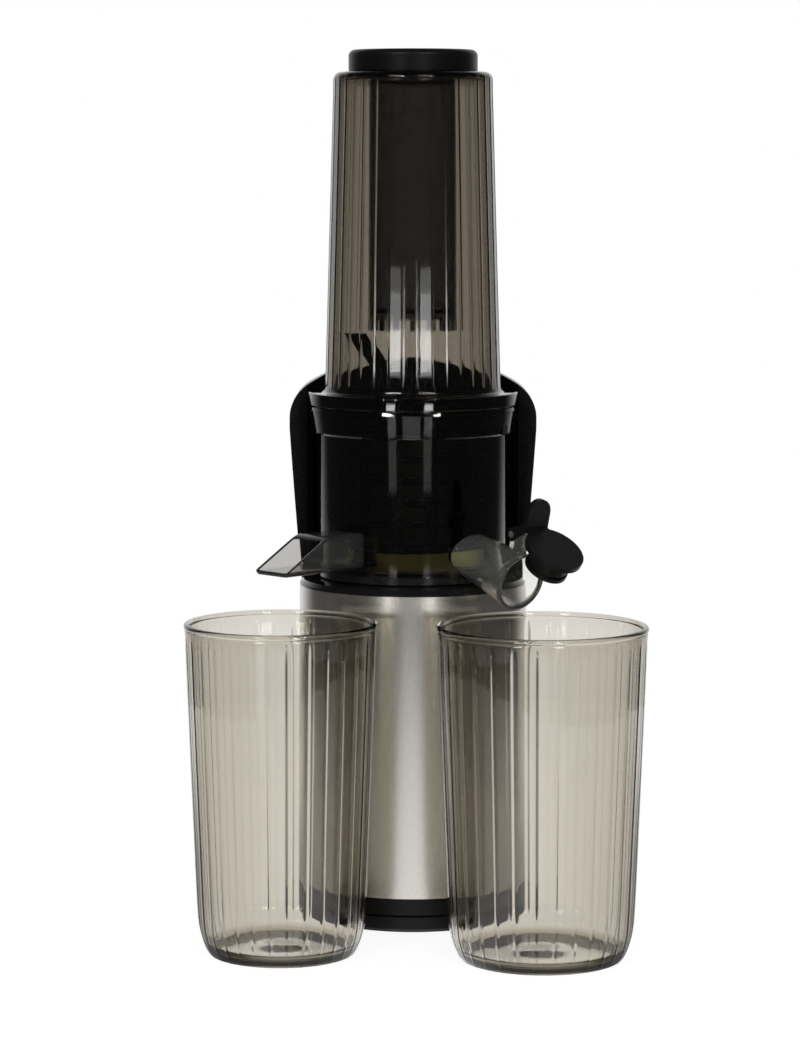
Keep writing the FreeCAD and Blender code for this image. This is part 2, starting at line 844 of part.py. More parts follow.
def motor():
    rear_inside = s.motor_bottom + s.bell_thickness
    front_inside = s.plate_bottom - s.bell_thickness
    stack_top = s.stack_bottom + s.stack_height
    bore = s.shaft_radius + s.running_gap
    rear_seat = s.motor_bottom + s.bearing_lip
    front_seat = s.plate_bottom - s.bearing_lip - s.bearing_width
    subpart("motor_can", tube("motor_can", s.motor_radius - s.motor_wall, s.motor_radius,
                              rear_inside, front_inside))
    subpart("motor_rear_bell", motor_bell("motor_rear_bell", s.motor_bottom, rear_inside, 1))
    front = motor_bell("front_bell_body", s.plate_bottom, front_inside, -1)
    holes = rods("bell_hole", s.screw_radius, s.motor_screw_circle, POST_ANGLES,
                 front_inside, s.bell_thickness)
    subpart("motor_front_bell", cut("motor_front_bell", front, *holes))
    subpart("motor_bearings", group(
        "motor_bearings",
        tube("rear_bearing", bore, s.bearing_radius, rear_seat, rear_seat + s.bearing_width),
        tube("front_bearing", bore, s.bearing_radius, front_seat,
             front_seat + s.bearing_width)))
    subpart("motor_stator", tube("motor_stator", s.rotor_radius + s.slip_gap,
                                 s.motor_radius - s.motor_wall, s.stack_bottom, stack_top))
    subpart("motor_windings", group(
        "motor_windings",
        tube("lower_winding", s.winding_inner, s.winding_outer,
             s.stack_bottom - s.winding_height, s.stack_bottom),
        tube("upper_winding", s.winding_inner, s.winding_outer,
             stack_top, stack_top + s.winding_height)))
    subpart("rotor_core", tube("rotor_core", s.shaft_radius, s.rotor_radius,
                               s.stack_bottom, stack_top))


def cooling_fan():
    bottom = s.shaft_bottom + 0.5
    top = bottom + s.fan_height
    hub = turned("fan_hub", (s.shaft_radius, bottom), (s.fan_hub_radius, bottom),
                 (s.fan_hub_radius, top - s.fan_plate), (s.fan_radius, top - s.fan_plate),
                 (s.fan_radius, top), (s.shaft_radius, top))
    blades = []
    for index in range(FAN_BLADES):
        blades.append(radial_box(f"blade_{index}", index * 360 / FAN_BLADES,
                                 s.fan_hub_radius - 0.5, s.fan_radius - s.fan_hub_radius,
                                 s.fan_plate, bottom, s.fan_height - s.fan_plate))
    return fuse("cooling_fan", hub, *blades)


def motor_plate():
    disc = tube("plate_disc", s.plate_hole, housing_inner - 0.2, s.plate_bottom, plate_top)
    cuts = rods("plate_motor_hole", s.screw_radius, s.motor_screw_circle, POST_ANGLES,
                s.plate_bottom, s.plate_thickness)
    cuts += rods("plate_gearbox_hole", s.screw_radius, gearbox_screw_circle,
                 GEARBOX_SCREW_ANGLES, s.plate_bottom, s.plate_thickness)
    cuts += rods("plate_ledge_hole", s.small_screw_radius, plate_screw_circle,
                 PLATE_SCREW_ANGLES, s.plate_bottom, s.plate_thickness)
    cuts += rods("plate_notch", s.post_radius + 0.3, post_circle, POST_ANGLES,
                 s.plate_bottom, s.plate_thickness)
    cuts += rods("plate_recess", s.screw_head_radius, s.motor_screw_circle, POST_ANGLES,
                 plate_top - s.screw_head_height, s.screw_head_height)
    return cut("motor_plate", disc, *cuts)


# Gearbox: two planetary stages, one above the other

def gear_face(teeth, outer, inner, widening, first_tooth):
    """The face inside a gear outline whose flanks follow the involute in two chords each.

    The widening is added to each flank: negative for a gear's own backlash, positive for the
    hollow of a ring gear. The first tooth points along the angle first_tooth, in radians.
    """
    pitch_radius = s.gear_module.number * teeth / 2
    pressure = math.radians(PRESSURE_ANGLE)
    base_radius = pitch_radius * math.cos(pressure)

    def half_angle(radius):
        slope = math.acos(base_radius / max(radius, base_radius))
        opening = (math.tan(pressure) - pressure) - (math.tan(slope) - slope)
        return math.pi / (2 * teeth) + opening + widening / pitch_radius

    radii = (inner, pitch_radius, outer)
    points = []
    for tooth in range(teeth):
        middle = first_tooth + tooth * 2 * math.pi / teeth
        flank = [(radius, half_angle(radius)) for radius in radii]
        sides = [(radius, -half) for radius, half in flank]
        sides += [(radius, half) for radius, half in reversed(flank)]
        for radius, offset in sides:
            angle = middle + offset
            points.append(Vector(radius * math.cos(angle), radius * math.sin(angle), 0))
    return Part.Face(Part.makePolygon(points + [points[0]]))


def outside_gear(teeth, first_tooth):
    pitch_radius = s.gear_module.number * teeth / 2
    return gear_face(teeth, pitch_radius + s.tooth_addendum.number,
                     pitch_radius - s.tooth_dedendum.number,
                     -s.tooth_backlash.number / 2, first_tooth)


def toothed(name, face, bottom, height, bore=None):
    """A straight-toothed solid from a gear face, with an optional bore on its own axis."""
    shape = face.extrude(Vector(0, 0, height.number))
    if bore is not None:
        shape = shape.cut(Part.makeCylinder(bore.number, height.number))
    thing = doc.addObject("Part::Feature", name)
    thing.Shape = shape
    thing.Placement = Placement(Vector(0, 0, bottom.number), Rotation())
    return thing


def planet_turn(angle):
    """The planet's tooth direction that meshes with a sun tooth pointing along +X."""
    place = math.radians(angle)
    return place + math.pi + place * SUN_TEETH / PLANET_TEETH - math.pi / PLANET_TEETH


def ring_turn():
    """The direction of a hollow of the ring gear that receives the planets' teeth."""
    place = math.radians(PLANET_ANGLES[0])
    return place - (place - planet_turn(PLANET_ANGLES[0])) * PLANET_TEETH / RING_TEETH


def ring_gear(name, bottom, height):
    pitch_radius = s.gear_module.number * RING_TEETH / 2
    hollow = gear_face(RING_TEETH, pitch_radius + s.tooth_dedendum.number,
                       pitch_radius - s.tooth_addendum.number,
                       s.tooth_backlash.number / 2, ring_turn())
    blank = Part.makeCylinder(s.ring_gear_outer.number, height.number)
    thing = doc.addObject("Part::Feature", name)
    thing.Shape = blank.cut(hollow.extrude(Vector(0, 0, height.number)))
    thing.Placement = Placement(Vector(0, 0, bottom.number), Rotation())
    return thing


def planets(stage, bottom, height):
    for number, angle in enumerate(PLANET_ANGLES, 1):
        name = f"planet_gear_{stage}_{number}"
        gear = toothed(name, outside_gear(PLANET_TEETH, planet_turn(angle)),
                       bottom, height, s.pin_radius + s.running_gap)
        x, y = around(planet_circle, angle)
        gear.Placement = Placement(Vector(x.number, y.number, bottom.number), Rotation())
        subpart(name, gear)


def carrier(name, pin_bottom, plate_height, thickness, bore, hub_top=None):
    """A carrier plate with three pins below it and a bore or a hub on its axis."""
    pieces = [tube(name + "_plate", bore, s.carrier_radius, plate_height,
                   plate_height + thickness)]
    pieces += rods(name + "_pin", s.pin_radius, planet_circle, PLANET_ANGLES, pin_bottom,
                   plate_height - pin_bottom)
    if hub_top is not None:
        pieces.append(cylinder(name + "_hub", bore, hub_top - plate_height, 0, 0,
                               plate_height))
    return fuse(name, *pieces)


def gearbox():
    first_top = s.first_gears_bottom + s.first_gears_height
    second_top = s.second_gears_bottom + s.second_gears_height
    first_plate = first_top + s.end_gap / 2
    second_plate = second_top + s.end_gap
    planet_rise = s.end_gap / 2

    wall_outer = s.ring_gear_outer + s.gearbox_wall
    shell = turned(
        "gearbox_shell",
        (s.plate_hole, plate_top),
        (wall_outer, plate_top),
        (wall_outer, gearbox_top),
        (s.ring_gear_outer, gearbox_top),
        (s.ring_gear_outer, plate_top + s.gearbox_floor),
        (s.plate_hole, plate_top + s.gearbox_floor))
    ears = rods("gearbox_ear", s.gearbox_ear_radius, gearbox_screw_circle,
                GEARBOX_SCREW_ANGLES, plate_top, s.gearbox_ear_height)
    holes = rods("ear_hole", s.screw_radius, gearbox_screw_circle, GEARBOX_SCREW_ANGLES,
                 plate_top, s.gearbox_ear_height)
    subpart("gearbox_housing", cut("gearbox_housing", fuse("gearbox_body", shell, *ears),
                                   *holes))
    subpart("gearbox_cover", turned(
        "gearbox_cover",
        (s.output_lip_radius, gearbox_top),
        (wall_outer, gearbox_top),
        (wall_outer, gearbox_top + s.gearbox_cover_thickness),
        (s.output_bearing_radius + s.output_hub_wall,
         gearbox_top + s.gearbox_cover_thickness),
        (s.output_bearing_radius + s.output_hub_wall,
         output_bearing_bottom + s.output_bearing_width),
        (s.output_bearing_radius, output_bearing_bottom + s.output_bearing_width),
        (s.output_bearing_radius, output_bearing_bottom),
        (s.output_lip_radius, output_bearing_bottom)))
    subpart("output_bearing", tube("output_bearing", s.drive_radius + s.running_gap,
                                   s.output_bearing_radius, output_bearing_bottom,
                                   output_bearing_bottom + s.output_bearing_width))
    subpart("ring_gear_1", ring_gear("ring_gear_1", s.first_gears_bottom,
                                     s.first_gears_height))
    subpart("ring_gear_2", ring_gear("ring_gear_2", s.second_gears_bottom,
                                     s.second_gears_height))

    pinion_height = s.first_gears_height - s.end_gap / 2
    pinion = toothed("pinion", outside_gear(SUN_TEETH, 0), s.first_gears_bottom,
                     pinion_height)
    rod = cylinder("motor_rod", s.shaft_radius,
                   s.first_gears_bottom + pinion_height - s.shaft_bottom, 0, 0,
                   s.shaft_bottom)
    subpart("motor_shaft", fuse("motor_shaft", rod, pinion))

    planet_height = s.first_gears_height - s.end_gap
    planets(1, s.first_gears_bottom + planet_rise, planet_height)
    subpart("carrier_1", carrier("carrier_1", s.first_gears_bottom, first_plate,
                                 s.carrier_thickness, s.shaft_radius, second_top))
    subpart("sun_gear_2", toothed("sun_gear_2", outside_gear(SUN_TEETH, 0),
                                  s.second_gears_bottom, s.second_gears_height,
                                  s.shaft_radius))
    planets(2, s.second_gears_bottom + planet_rise, s.second_gears_height - s.end_gap)
    subpart("carrier_2", carrier("carrier_2", s.second_gears_bottom, second_plate,
                                 s.carrier_thickness + 1, s.drive_radius))

    rod = cylinder("drive_rod", s.drive_radius, s.hex_bottom - second_plate, 0, 0,
                   second_plate)
    end = hexagon("drive_hex", s.hex_radius, s.hex_bottom, s.hex_top)
    subpart("drive_shaft", fuse("drive_shaft", rod, end))


def hexagon(name, corner_radius, bottom, top):
    thing = doc.addObject("Part::Prism", name)
    thing.Polygon = 6
    bind(thing, "Circumradius", corner_radius)
    bind(thing, "Height", top - bottom)
    return put(thing, 0, 0, bottom)


def shaft_seal():
    bore = s.drive_radius + s.running_gap
    flange_bottom = s.sleeve_top - s.seal_flange_height
    return turned("shaft_seal", (bore, flange_bottom), (s.seal_flange_radius, flange_bottom),
                  (s.seal_flange_radius, s.sleeve_top), (s.seal_radius, s.sleeve_top),
                  (s.seal_radius, deck_top), (bore, deck_top))


# Electrics at the back of the base

def wall_mounted(name, width, tall, height, front):
    """A box through the shells with a flange that lies on the sleeve outside."""
    face = s.base_radius + s.flange_proud
    body = box(name + "_body", width, face - front, tall, -width / 2, front,
               height - tall / 2)
    border = s.flange_border * 2
    flange = box(name + "_flange", width + border, s.base_radius / 2, tall + border,
                 -(width + border) / 2, face - s.base_radius / 2, height - tall / 2
                 - s.flange_border)
    inside = cylinder(name + "_sleeve", s.base_radius, tall * 3, 0, 0, height - tall * 1.5)
    return fuse(name + "_solid", body, cut(name + "_rim", flange, inside))


def power_inlet():
    solid = wall_mounted("inlet", s.inlet_width, s.inlet_tall, s.inlet_height,
                         inlet_front)
    face = s.base_radius + s.flange_proud
    socket_bottom = face - s.socket_depth
    socket = box("socket", s.socket_width, s.socket_depth, s.socket_tall,
                 -s.socket_width / 2, socket_bottom, s.inlet_height - s.socket_tall / 2)
    shell = cut("inlet_shell", solid, socket)
    contacts = []
    for side in (-1, 1):
        contacts.append(cylinder(f"contact_{side + 1}", s.contact_radius,
                                 s.contact_length + 1, s.contact_spacing / 2 * side,
                                 socket_bottom - 1, s.inlet_height, ALONG_Y))
    return fuse("power_inlet", shell, *contacts)


def switch_bezel():
    solid = wall_mounted("switch", s.switch_width, s.switch_tall, s.switch_height,
                         switch_front)
    face = s.base_radius + s.flange_proud
    depth = face - switch_front - 3
    recess = box("switch_recess", s.switch_recess_width, depth, s.switch_recess_tall,
                 -s.switch_recess_width / 2, face - depth,
                 s.switch_height - s.switch_recess_tall / 2)
    bore = cylinder("rocker_bore", s.rocker_pin_radius + s.running_gap,
                    s.switch_width - 1, -(s.switch_width - 1) / 2, rocker_pivot,
                    s.switch_height, ALONG_X)
    return cut("switch_bezel", solid, recess, bore)


def switch_rocker():
    """A rocker whose outer face dips at its middle, on two stub pins."""
    half = s.rocker_half_height
    cap = slab(
        "rocker_cap", s.rocker_width,
        (-s.rocker_back, half - 0.6),
        (-s.rocker_back, -half + 0.6),
        (s.rocker_proud, -half),
        (s.rocker_proud - s.rocker_dip, 0),
        (s.rocker_proud, half))
    put(cap, 0, rocker_pivot, s.switch_height, Rotation(Vector(0, 0, 1), 90))
    length = s.switch_recess_width + s.rocker_pin_reach * 2 - 0.6
    pin = cylinder("rocker_pin", s.rocker_pin_radius, length, -length / 2, rocker_pivot,
                   s.switch_height, ALONG_X)
    return fuse("switch_rocker", cap, pin)


# Juicing bowl and what sits in it

def bowl_base():
    recess_top = deck_top + s.deck_boss_height + s.seat_gap * 2
    disc = turned(
        "bowl_base_disc",
        (s.bowl_hole, bowl_bottom),
        (s.deck_boss_inner - s.slip_gap, bowl_bottom),
        (s.deck_boss_inner - s.slip_gap, recess_top),
        (s.deck_boss_outer + s.slip_gap, recess_top),
        (s.deck_boss_outer + s.slip_gap, bowl_bottom),
        (bowl_radius - 0.5, bowl_bottom),
        (bowl_radius, bowl_bottom + 0.5),
        (bowl_radius, floor_bottom),
        (s.bowl_hole, floor_bottom))
    return cut("bowl_base", disc, spout_loft("base_spout_notch", 0, 0, 0))


def outward_slab(name, width, azimuth, *corners):
    """A slab whose outline lies in the upright plane at an azimuth."""
    body = slab(name, width, *corners)
    body.Placement = Placement(Vector(), heading(azimuth))
    return body


def chute_block(name):
    """The chute's outside: a duct whose open mouth is cut at a slant."""
    return outward_slab(
        name, s.chute_width, s.chute_azimuth,
        (chute_start, s.chute_bottom),
        (chute_floor_end, s.chute_bottom),
        (chute_floor_end, s.chute_bottom + s.chute_lip),
        (chute_roof_end, s.chute_top),
        (chute_start, s.chute_top))


def chute_hollow(name, start, end, height):
    width = s.chute_width - s.chute_wall * 2
    low = s.chute_bottom + s.chute_wall
    return outward_slab(name, width, s.chute_azimuth, (start, low), (end, low),
                        (end, low + height), (start, low + height))


def pulp_chute():
    hollow_height = s.chute_top - s.chute_bottom - s.chute_wall * 2
    hollow = chute_hollow("chute_hollow", chute_start - 1, chute_floor_end + 1,
                          hollow_height)
    return cut("pulp_chute", chute_block("chute_block"), hollow)


def pulp_port(name):
    """The opening low in the strainer through which the pulp leaves."""
    return chute_hollow(name, screen_inner - 3, chute_start + 1, 6.5)


def spout_loft(name, inset, reach_back, reach_on):
    """A spout solid that widens from an oval root to the round mouth."""
    root = doc.addObject("Part::Ellipse", name + "_root")
    bind(root, "MajorRadius", s.spout_root_width - inset)
    bind(root, "MinorRadius", s.spout_root_tall - inset)
    flat = Rotation(ALONG_X.multiply(Rotation(Vector(0, 0, 1), 90)))
    put(root, spout_root - reach_back, 0, s.spout_root_height, flat)
    mouth = doc.addObject("Part::Circle", name + "_mouth")
    bind(mouth, "Radius", s.mouth_radius - inset)
    tilt = Rotation(Vector(0, 1, 0), s.mouth_tilt.number)
    put(mouth, mouth_reach + reach_on * math.cos(math.radians(s.mouth_tilt.number)), 0,
        s.mouth_height - reach_on * math.sin(math.radians(s.mouth_tilt.number)),
        tilt.multiply(flat))
    loft = doc.addObject("Part::Loft", name)
    loft.Sections = [root, mouth]
    loft.Solid = True
    loft.Ruled = True
    loft.Placement = Placement(Vector(), heading(s.spout_azimuth))
    return loft


def mouth_frame():
    """The spout mouth's own frame: +X out along its bore, +Z up in its plane."""
    place = Placement(Vector(), heading(s.spout_azimuth))
    mouth = Placement(Vector(mouth_reach.number, 0, s.mouth_height.number),
                      Rotation(Vector(0, 1, 0), s.mouth_tilt.number))
    return place.multiply(mouth)


def bowl_cavity(name):
    """The space inside the bowl's wall."""
    return turned(name, (0, floor_top), (bowl_inner, floor_top),
                  (bowl_top_inner, s.collar_bottom), (0, s.collar_bottom))


def juice_spout():
    solid = cut("spout_solid", spout_loft("spout_outside", 0, 0, 0),
                bowl_cavity("spout_trim"))
    ear_height = s.pivot_rise - s.mouth_radius + s.spout_wall
    ear_web = slab("ear_web", s.ear_width,
                   (-s.pivot_back - s.ear_radius, s.pivot_rise - ear_height),
                   (-s.pivot_back + s.ear_radius, s.pivot_rise - ear_height),
                   (-s.pivot_back + s.ear_radius, s.pivot_rise),
                   (-s.pivot_back - s.ear_radius, s.pivot_rise))
    ear_top = cylinder("ear_top", s.ear_radius, s.ear_width, -s.pivot_back,
                       -s.ear_width / 2, s.pivot_rise, ALONG_Y)
    ear = fuse("ear", ear_web, ear_top)
    ear.Placement = mouth_frame()
    bore = cylinder("ear_bore", s.hinge_pin_radius, s.ear_width + 2, -s.pivot_back,
                    -s.ear_width / 2 - 1, s.pivot_rise, ALONG_Y)
    bore_tool = group("ear_bore_tool", bore)
    bore_tool.Placement = mouth_frame()
    hollow = spout_loft("spout_hollow", s.spout_wall, 2, 1)
    return cut("juice_spout", fuse("spout_body", solid, ear), hollow, bore_tool)


def hinge_pin():
    pin = cylinder("pin", s.hinge_pin_radius, s.hinge_pin_length, -s.pivot_back,
                   -s.hinge_pin_length / 2, s.pivot_rise, ALONG_Y)
    thing = group("cap_hinge_pin", pin)
    thing.Placement = mouth_frame()
    return thing


def spout_cap():
    """The cap in the mouth's frame as when closed, then turned open about its pin."""
    inner_face = s.cap_gap
    outer_face = s.cap_gap + s.cap_thickness
    disc = cylinder("cap_disc", s.cap_radius, s.cap_thickness, inner_face, 0, 0, ALONG_X)
    plug = cylinder("cap_plug", s.plug_radius, s.plug_depth + inner_face, -s.plug_depth, 0,
                    -s.plug_drop, ALONG_X)
    lip = cylinder("cap_lip", s.plug_lip_radius, s.plug_lip_height, -s.plug_depth, 0,
                   -s.plug_drop, ALONG_X)
    hollow = cylinder("cap_hollow", s.plug_radius - s.plug_wall, s.plug_depth,
                      -s.plug_depth, 0, -s.plug_drop, ALONG_X)

    arms = []
    arm_middle = s.ear_width / 2 + s.slip_gap + s.arm_width / 2
    for side in (-1, 1):
        offset = arm_middle * side
        arm = slab(f"cap_arm_{side + 1}", s.arm_width,
                   (inner_face, s.mouth_radius - 1.5),
                   (outer_face, s.mouth_radius - 1.5),
                   (outer_face, s.crease_rise),
                   (-s.pivot_back + s.ear_radius * 0.7, s.pivot_rise + s.ear_radius * 0.7),
                   (-s.pivot_back - s.ear_radius * 0.7, s.pivot_rise - s.ear_radius * 0.7),
                   (inner_face, s.mouth_radius + 0.9))
        put(arm, 0, offset, 0)
        eye = cylinder(f"cap_eye_{side + 1}", s.ear_radius, s.arm_width, -s.pivot_back,
                       offset - s.arm_width / 2, s.pivot_rise, ALONG_Y)
        arms += [arm, eye]
    bridge = slab("cap_bridge", arm_middle * 2 + s.arm_width,
                  (inner_face, s.mouth_radius - 1.5),
                  (outer_face, s.mouth_radius - 1.5),
                  (outer_face, s.crease_rise),
                  (inner_face, s.crease_rise))

    slope = Rotation(Vector(0, 1, 0), -s.tab_angle.number)
    tab_end = s.tab_length - s.tab_width / 2
    tab_bar = box("tab_bar", tab_end, s.tab_width, s.tab_thickness, 0, -s.tab_width / 2,
                  -s.tab_thickness)
    tab_round = cylinder("tab_round", s.tab_width / 2, s.tab_thickness, tab_end, 0,
                         -s.tab_thickness)
    tab = fuse("cap_tab", tab_bar, tab_round)
    put(tab, inner_face, 0, s.crease_rise, slope)

    solid = fuse("cap_solid", disc, plug, lip, bridge, tab, *arms)
    bore = cylinder("cap_bore", s.hinge_pin_radius + s.running_gap,
                    s.hinge_pin_length + 2, -s.pivot_back, -s.hinge_pin_length / 2 - 1,
                    s.pivot_rise, ALONG_Y)
    cap = cut("spout_cap", solid, hollow, bore)

    pivot = Vector(-s.pivot_back.number, 0, s.pivot_rise.number)
    opened = Placement(Vector(), Rotation(Vector(0, 1, 0), -s.cap_open.number), pivot)
    cap.Placement = mouth_frame().multiply(opened)
    return cap


def juicing_bowl():
    groove = s.bayonet_groove_depth
    shell = turned(
        "bowl_shell",
        (s.bowl_hole, floor_bottom),
        (bowl_radius, floor_bottom),
        (bowl_top_radius, s.collar_bottom),
        (collar_low_radius - 0.6, s.collar_bottom),
        (collar_low_radius, s.collar_bottom + 0.8),
        (collar_radius, s.collar_top - 1.5),
        (collar_radius - 0.6, s.collar_top),
        (bowl_top_inner, s.collar_top),
        (bowl_top_inner, s.bayonet_groove_top),
        (bowl_top_inner + groove, s.bayonet_groove_top),
        (bowl_top_inner + groove, s.bayonet_groove_bottom),
        (bowl_top_inner, s.bayonet_groove_bottom),
        (bowl_top_inner, s.collar_bottom),
        (bowl_inner, floor_top),
        (s.bowl_hole + s.bowl_tube_wall, floor_top),
        (s.bowl_hole + s.bowl_tube_wall, s.bowl_tube_top),
        (s.bowl_hole, s.bowl_tube_top))
    lug_start = bowl_top_inner + s.bowl_wall - 0.5
    lug = radial_box("bowl_lug", s.lug_azimuth.number - 90, lug_start,
                     collar_low_radius + s.lug_proud - lug_start, s.lug_width,
                     s.collar_bottom + 0.4, s.lug_height)
    entries = []
    for angle in BAYONET_ANGLES:
        entries.append(bayonet_block(f"bayonet_entry_{angle}",
                                     angle + s.bayonet_twist.number,
                                     s.bayonet_lug_width + 2, groove,
                                     s.bayonet_groove_bottom, s.collar_top + 1))
    body = fuse("bowl_body", shell, lug)
    return cut("juicing_bowl", body, *entries, chute_block("bowl_chute_hole"),
               spout_loft("bowl_spout_hole", 0, 0, 0))


def bayonet_block(name, angle, width, depth, bottom, top):
    """A block that stands out from the bowl's inner wall at an angle from +X."""
    overlap = 1.5
    return radial_box(name, angle, bowl_top_inner - overlap, depth + overlap, width, bottom,
                      top - bottom)


def strainer():
    frame_inner = screen_inner + s.screen_thickness
    frame_outer = frame_inner + s.frame_thickness
    shell = turned(
        "strainer_shell",
        (frame_inner, floor_top),
        (frame_outer, floor_top),
        (frame_outer, s.strainer_top - s.strainer_rim),
        (bowl_top_inner - 0.2, s.strainer_top - s.strainer_rim),
        (bowl_top_inner - 0.2, s.strainer_top),
        (frame_inner, s.strainer_top))
    windows = []
    for row in range(WINDOW_ROWS):
        bottom = s.window_first + s.window_pitch * row - s.window_tall / 2
        for column in range(WINDOW_COLUMNS):
            windows.append(radial_box(f"window_{row}_{column}",
                                      360 / WINDOW_COLUMNS * column, screen_inner - 2,
                                      s.frame_thickness + 5, s.window_width, bottom,
                                      s.window_tall))
    subpart("strainer_frame", cut("strainer_frame", shell, *windows,
                                  pulp_port("frame_port")))
    subpart("strainer_screen", tube("strainer_screen", screen_inner, frame_inner,
                                    s.screen_bottom, s.strainer_top))
    ring = tube("seal_ring", frame_outer, frame_outer + s.seal_ring_width, floor_top,
                s.seal_ring_top)
    subpart("bowl_seal_ring", cut("bowl_seal_ring", ring, pulp_port("ring_port")))


def auger():
    """A tapering core with one screw flight, a feed arm and a centre post on top."""
    bottom = floor_top + s.auger_bottom_gap
    tube_outer = s.bowl_hole + s.bowl_tube_wall + 0.7
    recess_top = s.bowl_tube_top + s.auger_bottom_gap
    skirt_top = bottom + s.auger_skirt_height
    core = turned(
        "auger_core",
        (0, recess_top),
        (tube_outer, recess_top),
        (tube_outer, bottom),
        (auger_skirt_radius, bottom),
        (auger_skirt_radius, skirt_top),
        (auger_waist_radius, skirt_top + 4),
        (s.auger_neck_radius, s.auger_neck_height),
        (s.auger_post_radius + 3, s.auger_cone_top - 3),
        (s.auger_post_radius, s.auger_cone_top + 2),
        (s.auger_post_radius, s.auger_post_top),
        (0, s.auger_post_top))
    tip = screen_inner - s.auger_rim_gap
    root = s.auger_neck_radius - 1
    section = draw(core, "flight", "XZ_Plane", (
        (root, s.flight_start - s.flight_thickness / 2),
        (tip, s.flight_start - s.flight_tip / 2),
        (tip, s.flight_start + s.flight_tip / 2),
        (root, s.flight_start + s.flight_thickness / 2)))
    flight = core.newObject("PartDesign::AdditiveHelix", "flight")
    flight.Profile = section
    flight.ReferenceAxis = (section, ["V_Axis"])
    flight.Mode = "pitch-height-angle"
    bind(flight, "Pitch", s.flight_pitch)
    bind(flight, "Height", s.flight_rise)
    arm_root = s.auger_cone_top - 6
    arm = slab("auger_arm", s.arm_thickness,
               (-arm_tip_outer, s.arm_tip_height),
               (-arm_tip_inner, s.arm_tip_height),
               (-s.auger_post_radius + 1, arm_root + s.arm_root_tall),
               (-s.auger_post_radius + 1, arm_root))
    socket = hexagon("auger_socket", s.hex_radius + s.slip_gap, recess_top - 1,
                     s.hex_top + s.socket_top_gap)
    return cut("auger", fuse("auger_body", core, arm), socket)


# Hopper and pusher

def hopper():
    spigot_outer = bowl_top_inner - s.slip_gap
    spigot_inner = spigot_outer - s.spigot_wall
    low_inner = hopper_low_radius - s.hopper_wall
    top_inner = hopper_top_radius - s.hopper_wall
    opening = pusher_radius + s.slip_gap
    shell = turned(
        "hopper_shell",
        (spigot_inner, s.spigot_bottom),
        (spigot_outer, s.spigot_bottom),
        (spigot_outer, s.hopper_flange_bottom),
        (hopper_flange_radius, s.hopper_flange_bottom),
        (hopper_flange_radius, s.hopper_flange_top),
        (hopper_low_radius, s.hopper_flange_top),
        (hopper_top_radius, s.hopper_top),
        (opening, s.hopper_top),
        (opening, s.hopper_top - s.hopper_wall),
        (top_inner, s.hopper_top - s.hopper_wall),
        (low_inner, s.hopper_neck_height),
        (spigot_inner, s.hopper_flange_top - s.hopper_wall))
    round_rims(shell, s.hopper_shoulder, (hopper_top_radius, s.hopper_top))
    round_rims(shell, s.hopper_flange_round,
               (hopper_flange_radius, s.hopper_flange_top))
    round_rims(shell, s.hopper_neck_round, (hopper_low_radius, s.hopper_flange_top))
    lug_bottom = s.bayonet_groove_bottom + s.slip_gap
    lug_top = s.bayonet_groove_top - s.slip_gap
    lugs = []
    for angle in BAYONET_ANGLES:
        lugs.append(common(
            f"bayonet_lug_{angle}",
            bayonet_block(f"bayonet_bar_{angle}", angle, s.bayonet_lug_width,
                          s.bayonet_lug_proud, lug_bottom, lug_top),
            tube(f"bayonet_limit_{angle}", spigot_outer - 1,
                 bowl_top_inner + s.bayonet_groove_depth - s.slip_gap, lug_bottom,
                 lug_top)))
    body = fuse("hopper_body", shell, *lugs)
    return cut("hopper", body, magnet_block("magnet_pocket"))


def magnet_block(name):
    """The interlock magnet's place in the hopper's flange, facing the tower's sensor."""
    back = hopper_flange_radius - 0.8
    return box(name, s.magnet_width, s.magnet_depth, s.magnet_height,
               -s.magnet_width / 2, back - s.magnet_depth,
               s.sensor_height - s.magnet_height / 2)


def pusher():
    knob_bottom = s.hopper_top + s.seat_gap
    knob_inner_top = knob_top - s.knob_wall
    inner = pusher_radius - s.pusher_wall
    floor_height = pusher_bottom + s.pusher_floor_rise
    shell = turned(
        "pusher_shell",
        (0, floor_height),
        (inner, floor_height),
        (inner, pusher_bottom),
        (pusher_radius, pusher_bottom),
        (pusher_radius, knob_inner_top),
        (inner, knob_inner_top),
        (inner, floor_height + s.pusher_wall),
        (0, floor_height + s.pusher_wall))
    notches = []
    for index in range(CRENELLATIONS):
        notches.append(radial_box(f"notch_{index}", 360 / CRENELLATIONS * (index + 0.5),
                                  inner - 1, s.pusher_wall + 2, s.notch_width,
                                  pusher_bottom, s.notch_height))
    subpart("pusher_body", cut("pusher_body", shell, *notches))
    knob = turned(
        "pusher_cap",
        (0, knob_inner_top),
        (knob_radius - s.knob_wall, knob_inner_top),
        (knob_radius - s.knob_wall, knob_bottom),
        (knob_radius, knob_bottom),
        (knob_radius, knob_top),
        (0, knob_top))
    subpart("pusher_cap", round_rims(knob, s.knob_round, (knob_radius, knob_top)))


# Cups

